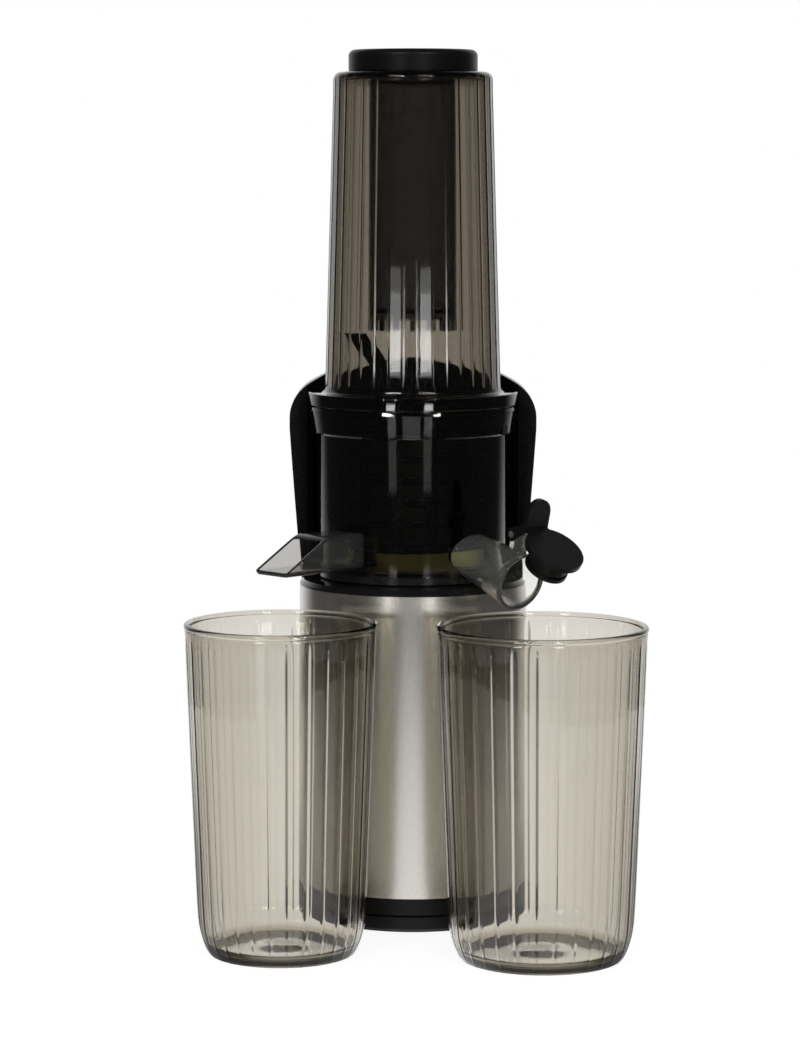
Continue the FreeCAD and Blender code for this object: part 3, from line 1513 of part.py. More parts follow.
def cup(name, azimuth, gap, rim):
    """A tumbler beside the base: its gap from the base is at the rim."""
    bead_bottom = s.cup_height - s.cup_bead
    floor = s.cup_bottom_rise + s.cup_wall
    inner_rim = rim - s.cup_bead_proud - s.cup_wall
    hip = rim - s.cup_hip_inset
    bulge = rim - s.cup_bulge_inset
    heel = rim - s.cup_heel_inset
    foot = rim - s.cup_foot_inset
    shell = turned(
        name,
        (0, s.cup_bottom_rise),
        (foot - 2, s.cup_bottom_rise),
        (foot - 1, 0),
        (foot, 0),
        (heel, s.cup_heel_height),
        (bulge, s.cup_bulge_height),
        (hip, s.cup_hip_height),
        (rim - s.cup_bead_proud, bead_bottom),
        (rim, bead_bottom),
        (rim, s.cup_height),
        (inner_rim, s.cup_height),
        (hip - s.cup_wall, s.cup_hip_height),
        (bulge - s.cup_wall, s.cup_bulge_height + 0.5),
        (heel - s.cup_wall, floor + 1.2),
        (foot - s.cup_wall, floor),
        (0, floor))
    distance = s.base_radius + gap + rim
    x, y = around(distance, azimuth.number - 90)
    return subpart(name, put(shell, x, y, 0))


# Every sub-part, from the table up
subpart("base_ring", base_ring())
subpart("rubber_feet", group(
    "rubber_feet",
    tube("foot_ring", foot_inner, foot_outer, 0, s.foot_height),
    cylinder("centre_pad", s.centre_pad_radius, s.foot_height)))
subpart("bottom_cover", bottom_cover())
subpart("base_sleeve", base_sleeve())
board_piece = subpart("control_board", box(
    "control_board", s.board_width, s.board_thickness, s.board_height, -s.board_width / 2,
    board_back, s.board_bottom))
subpart("base_housing", base_housing(board_piece))
deck_piece = subpart("top_deck", top_deck())
tower(deck_piece)
subpart("cover_screws", screws("cover_screws", post_circle, POST_ANGLES, s.foot_height,
                               cover_top + s.cover_screw_length - 1))
motor()
subpart("cooling_fan", cooling_fan())
subpart("motor_plate", motor_plate())
subpart("motor_screws", screws("motor_screws", s.motor_screw_circle, POST_ANGLES,
                               plate_top - s.screw_head_height,
                               plate_top - s.motor_screw_length))
subpart("plate_screws", screws("plate_screws", plate_screw_circle, PLATE_SCREW_ANGLES,
                               plate_top, s.plate_bottom - s.ledge_thickness, True))
gearbox()
subpart("gearbox_screws", screws("gearbox_screws", gearbox_screw_circle,
                                 GEARBOX_SCREW_ANGLES, plate_top + s.gearbox_ear_height,
                                 s.plate_bottom))
subpart("shaft_seal", shaft_seal())
subpart("power_inlet", power_inlet())
subpart("switch_bezel", switch_bezel())
subpart("switch_rocker", switch_rocker())
subpart("bowl_base", bowl_base())
subpart("juicing_bowl", juicing_bowl())
subpart("pulp_chute", pulp_chute())
subpart("juice_spout", juice_spout())
subpart("cap_hinge_pin", hinge_pin())
subpart("spout_cap", spout_cap())
strainer()
subpart("auger", auger())
subpart("hopper", hopper())
subpart("interlock_magnet", magnet_block("interlock_magnet"))
pusher()
cup("pulp_cup", s.pulp_cup_azimuth, s.pulp_cup_gap, s.pulp_cup_rim)
cup("juice_cup", s.juice_cup_azimuth, s.juice_cup_gap, s.juice_cup_rim)

doc.recompute()

faults = []
for thing in doc.Objects:
    if any(state in ("Invalid", "Error") for state in thing.State):
        faults.append(f"{thing.Name} is {thing.State}")
for thing in subparts:
    if thing.Shape.isNull() or not thing.Shape.isValid() or not thing.Shape.Solids:
        faults.append(f"{thing.Label} has no valid solid")
if faults:
    raise RuntimeError("; ".join(faults))

os.makedirs("parts", exist_ok=True)
for thing in subparts:
    thing.Shape.exportStep(os.path.join("parts", thing.Label + ".step"))
print(len(subparts), "sub-parts")
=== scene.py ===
import math
import bpy
import bmesh
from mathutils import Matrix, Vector


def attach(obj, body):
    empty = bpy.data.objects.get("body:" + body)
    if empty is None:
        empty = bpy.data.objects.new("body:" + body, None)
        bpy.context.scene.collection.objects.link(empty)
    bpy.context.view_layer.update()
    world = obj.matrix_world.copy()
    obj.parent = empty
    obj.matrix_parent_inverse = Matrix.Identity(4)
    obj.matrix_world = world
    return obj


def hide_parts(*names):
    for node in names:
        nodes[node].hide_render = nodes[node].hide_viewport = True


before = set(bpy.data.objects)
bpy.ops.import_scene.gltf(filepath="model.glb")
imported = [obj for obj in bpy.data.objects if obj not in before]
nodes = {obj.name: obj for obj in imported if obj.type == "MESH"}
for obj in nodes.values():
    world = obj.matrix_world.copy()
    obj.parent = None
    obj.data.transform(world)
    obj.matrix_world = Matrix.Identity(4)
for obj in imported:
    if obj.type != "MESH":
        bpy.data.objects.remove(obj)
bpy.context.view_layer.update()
MM = 0.001


# Shader nodes

def node(tree, kind, **values):
    """A new node, with its inputs or properties set by name."""
    made = tree.nodes.new(kind)
    for key, value in values.items():
        label = key.replace("_", " ").title()
        if label in made.inputs:
            made.inputs[label].default_value = value
        else:
            setattr(made, key, value)
    return made


def calc(tree, operation, *terms):
    """The result of a Math node whose terms are sockets or numbers."""
    made = node(tree, "ShaderNodeMath", operation=operation)
    for slot, term in zip(made.inputs, terms):
        if isinstance(term, bpy.types.NodeSocket):
            tree.links.new(term, slot)
        else:
            slot.default_value = term
    return made.outputs["Value"]


def eased(tree, source, start, end, low=0.0, high=1.0):
    """A smooth passage from low to high while the source goes from start to end."""
    made = node(tree, "ShaderNodeMapRange", interpolation_type="SMOOTHSTEP",
                from_min=start, from_max=end, to_min=low, to_max=high)
    tree.links.new(source, made.inputs["Value"])
    return made.outputs["Result"]


# Materials

EVEN = (1, 1, 1)
BUMP_DISTANCE = 0.0002
TINT_ENDS = (0.3, 0.7)
PLASTIC_IOR = 1.49
SMEAR_SCALE = 40
DENSITY_MARGIN = 1.1


def material(name, color, roughness, metallic=0.0):
    """A Principled material, with its colour and shine set on the shader."""
    mat = bpy.data.materials.new(name)
    mat.use_nodes = True
    shader = mat.node_tree.nodes["Principled BSDF"]
    shader.inputs["Base Color"].default_value = (*color, 1)
    shader.inputs["Roughness"].default_value = roughness
    shader.inputs["Metallic"].default_value = metallic
    return mat


def grain(mat, scale, stretch, low, high, bump, detail=3.0):
    """Noise in object space that varies the roughness between two values and lifts a fine bump."""
    tree = mat.node_tree
    shader = tree.nodes["Principled BSDF"]
    place = node(tree, "ShaderNodeTexCoord")
    mapping = node(tree, "ShaderNodeMapping", scale=stretch)
    noise = node(tree, "ShaderNodeTexNoise", scale=scale, detail=detail)
    spread = node(tree, "ShaderNodeMapRange", to_min=low, to_max=high)
    relief = node(tree, "ShaderNodeBump", strength=bump, distance=BUMP_DISTANCE)
    tree.links.new(place.outputs["Object"], mapping.inputs["Vector"])
    tree.links.new(mapping.outputs["Vector"], noise.inputs["Vector"])
    tree.links.new(noise.outputs["Fac"], spread.inputs["Value"])
    tree.links.new(spread.outputs["Result"], shader.inputs["Roughness"])
    tree.links.new(noise.outputs["Fac"], relief.inputs["Height"])
    tree.links.new(relief.outputs["Normal"], shader.inputs["Normal"])
    return noise


def tinted(mat, noise, dark, light):
    """The base colour drawn from the noise, between two close tones."""
    tree = mat.node_tree
    ramp = node(tree, "ShaderNodeValToRGB")
    for stop, place, tone in zip(ramp.color_ramp.elements, TINT_ENDS, (dark, light)):
        stop.position = place
        stop.color = (*tone, 1)
    tree.links.new(noise.outputs["Fac"], ramp.inputs["Fac"])
    tree.links.new(ramp.outputs["Color"], tree.nodes["Principled BSDF"].inputs["Base Color"])


def satin_metal():
    """Satin sheet metal with a warm tone and an even, fine grain."""
    mat = material("satin_metal", (0.58, 0.56, 0.52), 0.26, metallic=1.0)
    noise = grain(mat, 900, EVEN, 0.23, 0.29, 0.04)
    tinted(mat, noise, (0.57, 0.55, 0.51), (0.62, 0.6, 0.56))
    return mat


def black_plastic(name, tone, low, high, bump, scale=350, shine=0.5):
    """Black plastic whose tone varies by about 15% either way."""
    mat = material(name, (tone, tone, tone), (low + high) / 2)
    shader = mat.node_tree.nodes["Principled BSDF"]
    shader.inputs["Specular IOR Level"].default_value = shine
    noise = grain(mat, scale, EVEN, low, high, bump)
    tinted(mat, noise, (tone * 0.85,) * 3, (tone * 1.15, tone * 1.15, tone * 1.1))
    return mat


def plain(name, dark, light, low, high, bump, scale=300, metallic=0.0, stretch=EVEN):
    """A material between two tones and two roughness values, with a fine bump."""
    mat = material(name, light, low, metallic=metallic)
    noise = grain(mat, scale, stretch, low, high, bump)
    tinted(mat, noise, dark, light)
    return mat


def smoked(name, loss, thickness=2.0, roughness=(0.02, 0.05), clear=1.0):
    """Clear plastic that holds back this share of red, green and blue per wall thickness."""
    mat = material(name, (1, 1, 1), roughness[0])
    tree = mat.node_tree
    shader = tree.nodes["Principled BSDF"]
    shader.inputs["IOR"].default_value = PLASTIC_IOR
    shader.inputs["Transmission Weight"].default_value = clear
    grain(mat, SMEAR_SCALE, EVEN, roughness[0], roughness[1], 0.0, detail=0.0)
    rates = [-math.log(1 - part) / (thickness * MM) for part in loss]
    density = max(rates) * DENSITY_MARGIN
    volume = node(tree, "ShaderNodeVolumeAbsorption", density=density,
                  color=(*[1 - rate / density for rate in rates], 1))
    tree.links.new(volume.outputs["Volume"], tree.nodes["Material Output"].inputs["Volume"])
    return mat


METAL = satin_metal()
GLOSS_BLACK = black_plastic("gloss_black", 0.005, 0.1, 0.16, 0.02)
TOWER_BLACK = black_plastic("tower_black", 0.02, 0.24, 0.32, 0.02)
SATIN_BLACK = black_plastic("satin_black", 0.004, 0.32, 0.42, 0.08, scale=900, shine=0.18)
INNER_BLACK = black_plastic("inner_black", 0.003, 0.22, 0.32, 0.03, scale=500, shine=0.15)
MATTE_BLACK = black_plastic("matte_black", 0.012, 0.5, 0.62, 0.12, scale=1200)
SCREEN = plain("dark_screen", (0.006,) * 3, (0.014, 0.014, 0.013), 0.35, 0.5, 0.1, 1500,
               metallic=0.4)
RUBBER = plain("black_rubber", (0.012,) * 3, (0.02,) * 3, 0.7, 0.85, 0.15, 1500)
OLIVE = plain("olive_rubber", (0.5, 0.5, 0.12), (0.58, 0.58, 0.15), 0.5, 0.62, 0.08, 700)
STEEL = plain("steel", (0.5, 0.5, 0.5), (0.62, 0.62, 0.61), 0.25, 0.4, 0.04, 500,
              metallic=1.0, stretch=(1, 1, 12))
CAST = plain("cast_alloy", (0.5, 0.5, 0.51), (0.62, 0.62, 0.63), 0.4, 0.55, 0.2, 800,
             metallic=1.0)
LAMINATE = plain("laminated_steel", (0.12, 0.12, 0.13), (0.24, 0.24, 0.25), 0.45, 0.6, 0.2,
                 300, metallic=0.9, stretch=(0.05, 0.05, 8))
COPPER = plain("copper", (0.55, 0.22, 0.08), (0.78, 0.36, 0.16), 0.25, 0.42, 0.3, 900,
               metallic=1.0, stretch=(1, 1, 3))
NYLON = plain("gear_nylon", (0.72, 0.7, 0.63), (0.8, 0.78, 0.71), 0.42, 0.52, 0.06, 500)
BOARD = plain("board", (0.01, 0.09, 0.035), (0.02, 0.14, 0.06), 0.3, 0.45, 0.1, 600)
CUP = smoked("cup_plastic", (0.27, 0.3, 0.36))
HOPPER = smoked("hopper_plastic", (0.58, 0.61, 0.66), 2.4)
BOWL = smoked("bowl_plastic", (0.64, 0.67, 0.72), 2.2)
SPOUT = smoked("spout_plastic", (0.06, 0.07, 0.1), 1.5, clear=0.97)
CHUTE = smoked("chute_plastic", (0.42, 0.43, 0.45), 1.9, clear=0.985)
PUSHER = smoked("pusher_plastic", (0.69, 0.69, 0.685), 2.4)

dress = {
    METAL: ["base_sleeve"],
    GLOSS_BLACK: ["top_deck", "bowl_base"],
    TOWER_BLACK: ["tower_shell"],
    INNER_BLACK: ["auger", "strainer_frame"],
    SATIN_BLACK: ["base_ring", "tower_liner", "pusher_cap", "spout_cap", "switch_bezel",
                  "switch_rocker", "power_inlet"],
    SCREEN: ["strainer_screen"],
    MATTE_BLACK: ["bottom_cover", "base_housing", "cooling_fan", "interlock_sensor",
                  "gearbox_cover"],
    RUBBER: ["rubber_feet", "shaft_seal"],
    OLIVE: ["bowl_seal_ring"],
    STEEL: ["motor_shaft", "drive_shaft", "motor_bearings", "output_bearing", "cover_screws",
            "motor_screws", "plate_screws", "gearbox_screws", "tower_screws", "motor_can",
            "motor_plate", "cap_hinge_pin", "carrier_1", "carrier_2", "sun_gear_2",
            "interlock_magnet"],
    CAST: ["motor_front_bell", "motor_rear_bell"],
    LAMINATE: ["motor_stator", "rotor_core"],
    COPPER: ["motor_windings"],
    NYLON: ["ring_gear_1", "ring_gear_2", "gearbox_housing"] + [
        f"planet_gear_{stage}_{number}" for stage in (1, 2) for number in (1, 2, 3)],
    BOARD: ["control_board"],
    BOWL: ["juicing_bowl"],
    PUSHER: ["pusher_body"],
}
for mat, names in dress.items():
    for name in names:
        mesh = nodes[name].data
        mesh.materials.clear()
        mesh.materials.append(mat)


# Mesh pieces

def mesh_object(name, verts, faces, mat):
    """An object in the scene, made of faces with one material."""
    mesh = bpy.data.meshes.new(name)
    mesh.from_pydata(verts, [], faces)
    mesh.validate()
    mesh.materials.append(mat)
    made = bpy.data.objects.new(name, mesh)
    bpy.context.scene.collection.objects.link(made)
    return made


def dressed(piece, body, replaced, angle=35):
    """Shade a piece smooth up to an angle, and hang it on its body in place of its node."""
    piece.data.shade_smooth()
    piece.data.set_sharp_from_angle(angle=math.radians(angle))
    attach(piece, body)
    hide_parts(replaced)


def arc(x, z, radius, start, end, count):
    """Points on an arc in the (radius, height) plane, angles in degrees from outwards."""
    points = []
    for index in range(count + 1):
        angle = math.radians(start + (end - start) * index / count)
        points.append((x + radius * math.cos(angle), z + radius * math.sin(angle)))
    return points


def curved(points, steps):
    """A smooth line through points, by Catmull-Rom spans."""
    padded = [points[0]] + list(points) + [points[-1]]
    line = []
    for index in range(1, len(padded) - 2):
        before, start, end, after = padded[index - 1:index + 3]
        for step in range(steps):
            t = step / steps
            line.append(tuple(
                0.5 * (2 * b + (c - a) * t + (2 * a - 5 * b + 4 * c - d) * t * t
                       + (3 * b - a - 3 * c + d) * t ** 3)
                for a, b, c, d in zip(before, start, end, after)))
    return line + [tuple(points[-1])]


# Turned pieces, in millimetres

FLUTE_DEPTH = 0.3
PANEL_EDGE = 0.7
PANEL_HOLLOW = 0.12
POLE = 1e-6


def panel(across):
    """How far a fluted wall lies back: fully on its flat panels, not at all on a rib's crest."""
    if abs(across) < PANEL_EDGE:
        return 1 - PANEL_HOLLOW * (across / PANEL_EDGE) ** 2
    climb = (abs(across) - PANEL_EDGE) / (1 - PANEL_EDGE)
    return (1 - PANEL_HOLLOW) * (0.5 + 0.5 * math.cos(math.pi * climb))


def turned(name, rings, mat, body, replaced, segments, flutes, centre=(0, 0), turn=0.0):
    """A solid of revolution from (radius, height, flute share) rings.

    A ring at radius 0 is a pole; without poles the section closes on itself. The flutes are
    panels that lie back between narrow ribs, by the flute depth times each ring's share.
    """
    verts = []
    rows = []
    for radius, height, share in rings:
        if radius < POLE:
            verts.append((centre[0] * MM, centre[1] * MM, height * MM))
            rows.append([len(verts) - 1] * segments)
            continue
        row = []
        for index in range(segments):
            hollow = 0.0
            if share:
                across = 2 * ((index / segments * flutes) % 1) - 1
                hollow = FLUTE_DEPTH * share * panel(across)
            angle = math.radians(turn) + 2 * math.pi * index / segments
            reach = radius - hollow
            verts.append(((centre[0] + reach * math.cos(angle)) * MM,
                          (centre[1] + reach * math.sin(angle)) * MM, height * MM))
            row.append(len(verts) - 1)
        rows.append(row)
    poles = rings[0][0] < POLE and rings[-1][0] < POLE
    faces = []
    for index in range(len(rows) - (1 if poles else 0)):
        low, high = rows[index], rows[(index + 1) % len(rows)]
        for step in range(segments):
            after = (step + 1) % segments
            corners = []
            for vert in (low[step], low[after], high[after], high[step]):
                if vert not in corners:
                    corners.append(vert)
            if len(corners) > 2:
                faces.append(corners)
    dressed(mesh_object(name, verts, faces, mat), body, replaced)


def shared(points, share=0.0):
    """Rings of one flute share from (radius, height) points."""
    return [(radius, height, share) for radius, height in points]


# The cups' lines are given as (inset from the rim's radius, height)

CUP_HEIGHT = 147.5
CUP_FLOOR = 2.8
CUP_OUTSIDE = [(10.7, 0.0), (9.0, 2.6), (6.9, 8.5), (5.4, 18), (3.8, 55), (2.0, 100),
               (0.45, 143.4)]
CUP_INSIDE = [(16.5, CUP_FLOOR), (10.6, CUP_FLOOR + 2.2), (8.7, 9), (7.4, 18), (5.8, 55),
              (4.0, 100), (2.4, 145)]
CUP_UNDERSIDE = [(17, 1.6), (14, 1.3), (12.5, 0.3), (11.6, 0.0)]
CUP_PIP = [(4.5, CUP_FLOOR), (3.5, CUP_FLOOR + 0.35), (1.2, CUP_FLOOR + 0.45),
           (0, CUP_FLOOR + 0.3)]
CUP_FLUTE_TOP = 141.5
CUP_BEAD = 1.2
CUP_LIP = 0.9


def make_cup(name, node_name, rim):
    """A tumbler with hollow flutes outside, a smooth rim bead and a slightly raised bottom."""
    low, high = nodes[node_name].bound_box[0], nodes[node_name].bound_box[6]
    place = nodes[node_name].matrix_world @ ((Vector(low) + Vector(high)) / 2)
    outside = []
    for radius, level in curved([(rim - inset, level) for inset, level in CUP_OUTSIDE], 6):
        share = min(1.0, 0.35 + level / 8) if level <= CUP_FLUTE_TOP else 0.0
        outside.append((radius, level, share))
    bead = shared([(rim - 0.4, 144.6)]
                  + arc(rim - CUP_BEAD, CUP_HEIGHT - 1.3, CUP_BEAD, -60, 90, 8)
                  + arc(rim - 1.5, CUP_HEIGHT - CUP_LIP, CUP_LIP, 90, 180, 4))
    inside = shared(reversed(curved([(rim - inset, level) for inset, level in CUP_INSIDE], 6)))
    underside = shared([(0, CUP_UNDERSIDE[0][1])]
                       + [(rim - inset, level) for inset, level in CUP_UNDERSIDE])
    turned(name, underside + outside + bead + inside + shared(CUP_PIP), CUP, node_name,
           node_name, segments=600, flutes=30,
           centre=(place.x / MM, place.y / MM))


make_cup("pulp_cup_fluted", "pulp_cup", 42.8)
make_cup("juice_cup_fluted", "juice_cup", 46.5)

HOPPER_TOP = 389.0
HOPPER_ROOF = 2.4
HOPPER_TAPER = 0.02925
HOPPER_LEVELS = (256, 262, 275, 300, 325, 350, 370, 380)
SPIGOT_OUTER, SPIGOT_INNER, SPIGOT_LOW = 42.35, 39.95, 228.6
FLANGE_RADIUS, FLANGE_LOW, FLANGE_TOP, FLANGE_ROUND = 48.4, 237, 243, 0.8
FEED_RADIUS = 20.95
SHOULDER = 3.6


def make_hopper():
    """The fluted feed hopper with its flange, spigot and pierced flat top."""
    rings = shared([(SPIGOT_INNER, SPIGOT_LOW), (SPIGOT_OUTER, SPIGOT_LOW),
                    (SPIGOT_OUTER, FLANGE_LOW), (FLANGE_RADIUS - 0.5, FLANGE_LOW),
                    (FLANGE_RADIUS, FLANGE_LOW + 0.5)]
                   + arc(FLANGE_RADIUS - FLANGE_ROUND, FLANGE_TOP - FLANGE_ROUND,
                         FLANGE_ROUND, 0, 90, 4))
    foot = curved([(43.2, FLANGE_TOP), (41.6, 243.5), (40.7, 245.0), (40.45, 247.2)], 5)
    for radius, level in foot:
        rings.append((radius, level, max(0.0, (level - 244.5) / 2.7)))
    side = [(40.3 - (level - 252) * HOPPER_TAPER, level) for level in HOPPER_LEVELS]
    rings += shared(side, 1.0)
    for radius, level in arc(36.5 - SHOULDER, HOPPER_TOP - SHOULDER, SHOULDER, 0, 90, 8):
        rings.append((radius, level, max(0.0, 1 - (level - 385.4) / 1.6)))
    rings += shared([(24, HOPPER_TOP), (FEED_RADIUS, HOPPER_TOP - 0.3),
                     (FEED_RADIUS, HOPPER_TOP - HOPPER_ROOF),
                     (30.5, HOPPER_TOP - HOPPER_ROOF)]
                    + arc(31.6, HOPPER_TOP - 4.7, 2.3, 90, 0, 4)
                    + [(37.9, 251), (38.6, 246), (39.6, 241.5)])
    turned("hopper_fluted", rings, HOPPER, "hopper", "hopper",
           segments=720, flutes=36, turn=3.1)


make_hopper()


# Outlets, in millimetres

def outward(azimuth, reach, across, height):
    """A point in metres from its reach and offset in the upright plane at an azimuth."""
    turn = math.radians(azimuth)
    return ((reach * math.sin(turn) + across * math.cos(turn)) * MM,
            (across * math.sin(turn) - reach * math.cos(turn)) * MM, height * MM)


def tube_faces(first, count, rows):
    """Faces between rows of points laid round a closed section, the last row back to the first."""
    faces = []
    for row in range(rows):
        low = first + row * count
        high = first + (row + 1) % rows * count
        for step in range(count):
            after = (step + 1) % count
            faces.append((low + step, low + after, high + after, high + step))
    return faces


def outlet(name, points, faces, mat, replaced, angle):
    """A clear duct on the bowl, with all its faces turned outwards."""
    piece = mesh_object(name, points, faces, mat)
    shell = bmesh.new()
    shell.from_mesh(piece.data)
    bmesh.ops.recalc_face_normals(shell, faces=shell.faces)
    shell.to_mesh(piece.data)
    shell.free()
    dressed(piece, "bowl", replaced, angle=angle)


SPOUT_AZIMUTH = 40
SPOUT_TILT = math.radians(15)
SPOUT_ROOT, SPOUT_ROOT_HEIGHT = 39.0, 171.6
ROOT_HALF_WIDTH, ROOT_HALF_HEIGHT = 13.0, 9.6
SPOUT_MOUTH, SPOUT_MOUTH_HEIGHT, SPOUT_RADIUS = 75.5, 161.3, 13.2
SPOUT_WALL = 1.5
SPOUT_SKIN = 0.03
SPOUT_SIDES = 120
SPOUT_ROWS = 12
BOWL_INSIDE = 41.7
LIP_START = 0.985
EAR_ACROSS, EAR_RISE, EAR_RADIUS, EAR_BORE, EAR_HALF = -6.6, 21.2, 3.2, 1.5, 2.5


def spout_line(angle, inset, share):
    """A point of the spout's wall, from its oval root (share 0) to its round mouth (share 1)."""
    side, rise = math.cos(angle), math.sin(angle)
    root = (SPOUT_ROOT, (ROOT_HALF_WIDTH - inset) * side,
            SPOUT_ROOT_HEIGHT + (ROOT_HALF_HEIGHT - inset) * rise)
    reach = SPOUT_RADIUS - inset
    mouth = (SPOUT_MOUTH + reach * rise * math.sin(SPOUT_TILT), reach * side,
             SPOUT_MOUTH_HEIGHT + reach * rise * math.cos(SPOUT_TILT))
    return tuple(a + (b - a) * share for a, b in zip(root, mouth))


def root_share(angle, inset):
    """Where the spout's line leaves the inside of the bowl's wall."""
    low, high = 0.0, 1.0
    for _ in range(30):
        middle = (low + high) / 2
        reach, across, _height = spout_line(angle, inset, middle)
        if math.hypot(reach, across) < BOWL_INSIDE:
            low = middle
        else:
            high = middle
    return high


def ear_rings():
    """The ear's outline and its bore, point by point, as (along, rise) from the mouth."""
    outline = ([(-9.8, 12.2)] + arc(EAR_ACROSS, EAR_RISE, EAR_RADIUS, 180, 0, 20)
               + [(-3.4, 12.6)])
    bore = []
    for along, rise in outline:
        angle = math.atan2(rise - EAR_RISE, along - EAR_ACROSS)
        bore.append((EAR_ACROSS + EAR_BORE * math.cos(angle),
                     EAR_RISE + EAR_BORE * math.sin(angle)))
    return outline, bore


def make_spout():
    """A clear tube with a rounded lip, and the ear that carries the cap's pin."""
    lip = [(SPOUT_SKIN, LIP_START), (0.18, 0.994), (0.45, 0.999), (0.75, 1.0), (1.05, 0.999),
           (1.32, 0.994), (SPOUT_WALL, LIP_START)]
    steps = [step / SPOUT_ROWS * LIP_START for step in range(SPOUT_ROWS)]
    rows = ([(SPOUT_SKIN, share) for share in steps] + lip
            + [(SPOUT_WALL, share) for share in reversed(steps)])
    points = []
    for inset, share in rows:
        for step in range(SPOUT_SIDES):
            angle = 2 * math.pi * step / SPOUT_SIDES
            start = root_share(angle, inset)
            place = spout_line(angle, inset, start + (1 - start) * share)
            points.append(outward(SPOUT_AZIMUTH, *place))
    faces = tube_faces(0, SPOUT_SIDES, len(rows))
    outline, bore = ear_rings()
    first = len(points)
    tilt_sin, tilt_cos = math.sin(SPOUT_TILT), math.cos(SPOUT_TILT)
    for side, ring in ((-EAR_HALF, outline), (EAR_HALF, outline), (EAR_HALF, bore),
                       (-EAR_HALF, bore)):
        for along, rise in ring:
            points.append(outward(SPOUT_AZIMUTH,
                                  SPOUT_MOUTH + along * tilt_cos + rise * tilt_sin, side,
                                  SPOUT_MOUTH_HEIGHT - along * tilt_sin + rise * tilt_cos))
    faces += tube_faces(first, len(outline), 4)
    outlet("juice_spout_clear", points, faces, SPOUT, "juice_spout", 50)


def rounded_box(half, low, high, radius, steps=6):
    """Corner by corner, the points of a rounded rectangle in (across, height)."""
    points = []
    for across, height, start in ((half - radius, high - radius, 0),
                                  (radius - half, high - radius, 90),
                                  (radius - half, low + radius, 180),
                                  (half - radius, low + radius, 270)):
        points += arc(across, height, radius, start, start + 90, steps)
    return points


CHUTE_AZIMUTH = -45
CHUTE_HALF, CHUTE_LOW, CHUTE_HIGH, CHUTE_WALL = 10.8, 165, 181.3, 1.9
CHUTE_OUTER_ROUND, CHUTE_INNER_ROUND = 2.2, 0.9
CHUTE_ROOT, CHUTE_REACH = 33.8, 89.4
CHUTE_SLANT, CHUTE_SLANT_FROM = 1.776, 167
CHUTE_LIP = [(0.0, 0.6), (0.15, 0.25), (0.35, 0.05), (0.5, 0.0), (0.65, 0.05), (0.85, 0.25),
             (1.0, 0.6)]


def make_chute():
    """A clear duct with rounded edges and a mouth cut at a slant."""
    outer = rounded_box(CHUTE_HALF, CHUTE_LOW, CHUTE_HIGH, CHUTE_OUTER_ROUND)
    inner = rounded_box(CHUTE_HALF - CHUTE_WALL, CHUTE_LOW + CHUTE_WALL,
                        CHUTE_HIGH - CHUTE_WALL, CHUTE_INNER_ROUND)
    rows = [(0.0, None)] + CHUTE_LIP + [(1.0, None)]
    points = []
    for blend, back in rows:
        for (across, height), (across_in, height_in) in zip(outer, inner):
            side = across + (across_in - across) * blend
            level = height + (height_in - height) * blend
            end = CHUTE_REACH - max(0.0, level - CHUTE_SLANT_FROM) * CHUTE_SLANT
            reach = CHUTE_ROOT if back is None else end - back
            points.append(outward(CHUTE_AZIMUTH, reach, side, level))
    faces = tube_faces(0, len(outer), len(rows))
    outlet("pulp_chute_clear", points, faces, CHUTE, "pulp_chute", 12)


make_spout()
make_chute()


# Studio

FLOOR_RADIUS = 0.6
FLOOR_WHITE = 1.2
FLOOR_SHARE = 0.75
BEHIND = (0.05, 0.35)
NEAR_WEDGE = (math.radians(12), math.radians(17), 0.7)
WIDE_WEDGE = (math.radians(28), math.radians(36), 0.6)
ROOM = (0.5, 0.95)
ROOM_DIM = 0.05
ROOM_DIFFUSE = 0.4
# Cycles counts one bounce more for a ray that reaches the world than for one on the floor.
FLOOR_BOUNCES = 0.5
WORLD_BOUNCES = 1.5


def straight_view(tree, path, limit):
    """1 for a camera ray, also after clear walls, and 0 once it has met anything else."""
    other = calc(tree, "SUBTRACT", path.outputs["Ray Depth"], path.outputs["Transmission Depth"])
    return calc(tree, "LESS_THAN", other, limit)


def mirror_or_clear(tree, path):
    """1 for rays that a mirror or a clear wall sends on."""
    return calc(tree, "MAXIMUM", path.outputs["Is Glossy Ray"],
                path.outputs["Is Transmission Ray"])


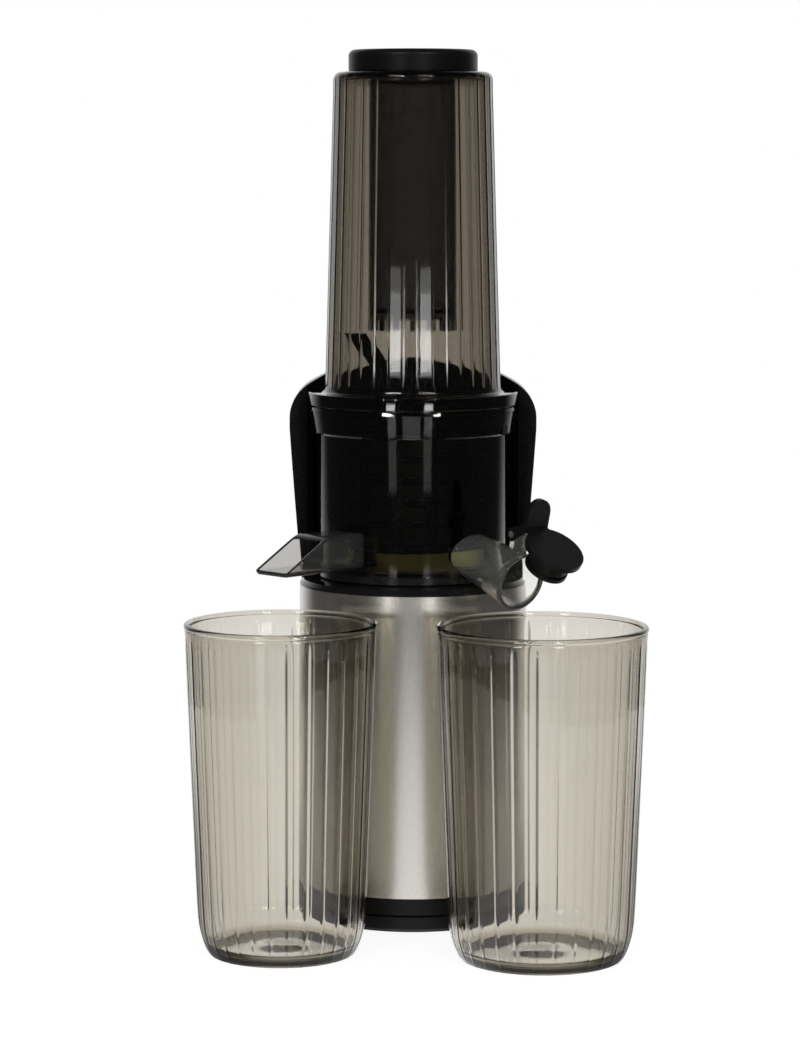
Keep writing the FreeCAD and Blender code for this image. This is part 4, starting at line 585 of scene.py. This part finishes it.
def stage_floor():
    """A white table; mirrors see it bright only behind the object and in a wedge in front."""
    rim = [(FLOOR_RADIUS * math.cos(math.radians(angle)),
            FLOOR_RADIUS * math.sin(math.radians(angle)), 0) for angle in range(0, 360, 5)]
    mat = material("pale_floor", (0.9, 0.9, 0.89), 0.6)
    floor = mesh_object("floor", rim, [range(len(rim))], mat)
    tree = mat.node_tree
    path = node(tree, "ShaderNodeLightPath")
    place = node(tree, "ShaderNodeTexCoord")
    split = node(tree, "ShaderNodeSeparateXYZ")
    tree.links.new(place.outputs["Object"], split.inputs["Vector"])
    behind = eased(tree, split.outputs["Y"], *BEHIND)
    bearing = calc(tree, "ARCTAN2", split.outputs["X"],
                   calc(tree, "MULTIPLY", split.outputs["Y"], -1.0))
    off = calc(tree, "ABSOLUTE", bearing)
    near = eased(tree, off, *NEAR_WEDGE, 0.0)
    wide = eased(tree, off, *WIDE_WEDGE, 0.0)
    lit = calc(tree, "MAXIMUM", behind, calc(tree, "ADD", near, wide))
    mirrored = calc(tree, "MULTIPLY", mirror_or_clear(tree, path), lit)
    seen = calc(tree, "MAXIMUM", straight_view(tree, path, FLOOR_BOUNCES), mirrored)
    share = calc(tree, "MULTIPLY", seen, FLOOR_SHARE)
    white = node(tree, "ShaderNodeEmission", strength=FLOOR_WHITE)
    mix = node(tree, "ShaderNodeMixShader")
    tree.links.new(share, mix.inputs["Fac"])
    tree.links.new(tree.nodes["Principled BSDF"].outputs["BSDF"], mix.inputs[1])
    tree.links.new(white.outputs["Emission"], mix.inputs[2])
    tree.links.new(mix.outputs["Shader"], tree.nodes["Material Output"].inputs["Surface"])


def studio_world():
    """White behind the object and a dim room in front, as mirrors see them."""
    world = bpy.data.worlds.new("studio")
    bpy.context.scene.world = world
    world.use_nodes = True
    tree = world.node_tree
    background = tree.nodes["Background"]
    background.inputs["Color"].default_value = (1.0, 1.0, 1.0, 1.0)
    path = node(tree, "ShaderNodeLightPath")
    place = node(tree, "ShaderNodeTexCoord")
    split = node(tree, "ShaderNodeSeparateXYZ")
    tree.links.new(place.outputs["Generated"], split.inputs["Vector"])
    room = eased(tree, split.outputs["Y"], *ROOM, ROOM_DIM, 1.0)
    bounced = node(tree, "ShaderNodeMix", a=ROOM_DIFFUSE)
    tree.links.new(mirror_or_clear(tree, path), bounced.inputs["Factor"])
    tree.links.new(room, bounced.inputs["B"])
    strength = node(tree, "ShaderNodeMix", b=1.0)
    direct = calc(tree, "MAXIMUM", path.outputs["Is Camera Ray"],
                  straight_view(tree, path, WORLD_BOUNCES))
    tree.links.new(direct, strength.inputs["Factor"])
    tree.links.new(bounced.outputs["Result"], strength.inputs["A"])
    tree.links.new(strength.outputs["Result"], background.inputs["Strength"])


LAMP_DISTANCE = 1.25
LAMP_WIDTH = 0.2
HIGH_DISTANCE = 1.5
HIGH_MIDDLE = 1.3
HIGH_TARGET = 0.39


def soft_box(name, azimuth, distance, width, height, middle, radiance, drop=0.0):
    """A lamp at an azimuth to the right of the front, facing the axis and tipped down by drop."""
    lamp = bpy.data.lights.new(name, "AREA")
    lamp.shape = "RECTANGLE"
    lamp.size = width
    lamp.size_y = height
    lamp.energy = radiance * math.pi * width * height
    stand = bpy.data.objects.new(name, lamp)
    bpy.context.scene.collection.objects.link(stand)
    turn = math.radians(azimuth)
    stand.location = (distance * math.sin(turn), -distance * math.cos(turn), middle)
    stand.rotation_euler = (math.radians(90) - drop, 0, turn)


def lamps():
    """A stack of lamps on either side in front, three below the table and two high ones."""
    for side, azimuth, dim in (("left", -24, 0.75), ("right", 16.5, 1.0)):
        for part, height, middle, radiance in (("main", 0.165, 0.1925, 11.0),
                                               ("upper", 0.03, 0.29, 5.0 * dim),
                                               ("fade", 0.02, 0.315, 2.0 * dim),
                                               ("under", 0.08, 0.07, 0.6)):
            soft_box(f"{side}_{part}", azimuth, LAMP_DISTANCE, LAMP_WIDTH, height, middle,
                     radiance)
    soft_box("left_low", -24, LAMP_DISTANCE, LAMP_WIDTH, 0.2, -0.13, 1.3)
    soft_box("right_low", 16.5, LAMP_DISTANCE, LAMP_WIDTH, 0.2, -0.13, 1.3)
    soft_box("front_low", -2, 1.1, 0.38, 0.16, -0.11, 0.9)
    drop = math.atan2(HIGH_MIDDLE - HIGH_TARGET, HIGH_DISTANCE)
    for side, azimuth in (("left", -28), ("right", 24)):
        soft_box(f"{side}_high", azimuth, HIGH_DISTANCE, 0.5, 0.1, HIGH_MIDDLE, 40.0, drop=drop)


def camera():
    """A long lens in front, just below the height of the object's top, aimed slightly down."""
    data = bpy.data.cameras.new("camera")
    data.sensor_width = 36.0
    data.lens = 119.8
    data.clip_start = 0.05
    shot = bpy.data.objects.new("camera", data)
    bpy.context.scene.collection.objects.link(shot)
    shot.location = (-6 * MM, -1.588, 0.360)
    shot.rotation_euler = (math.radians(90 - 6.33), 0, 0)
    bpy.context.scene.camera = shot


stage_floor()
studio_world()
lamps()
camera()
scene = bpy.context.scene
scene.view_settings.view_transform = "Standard"
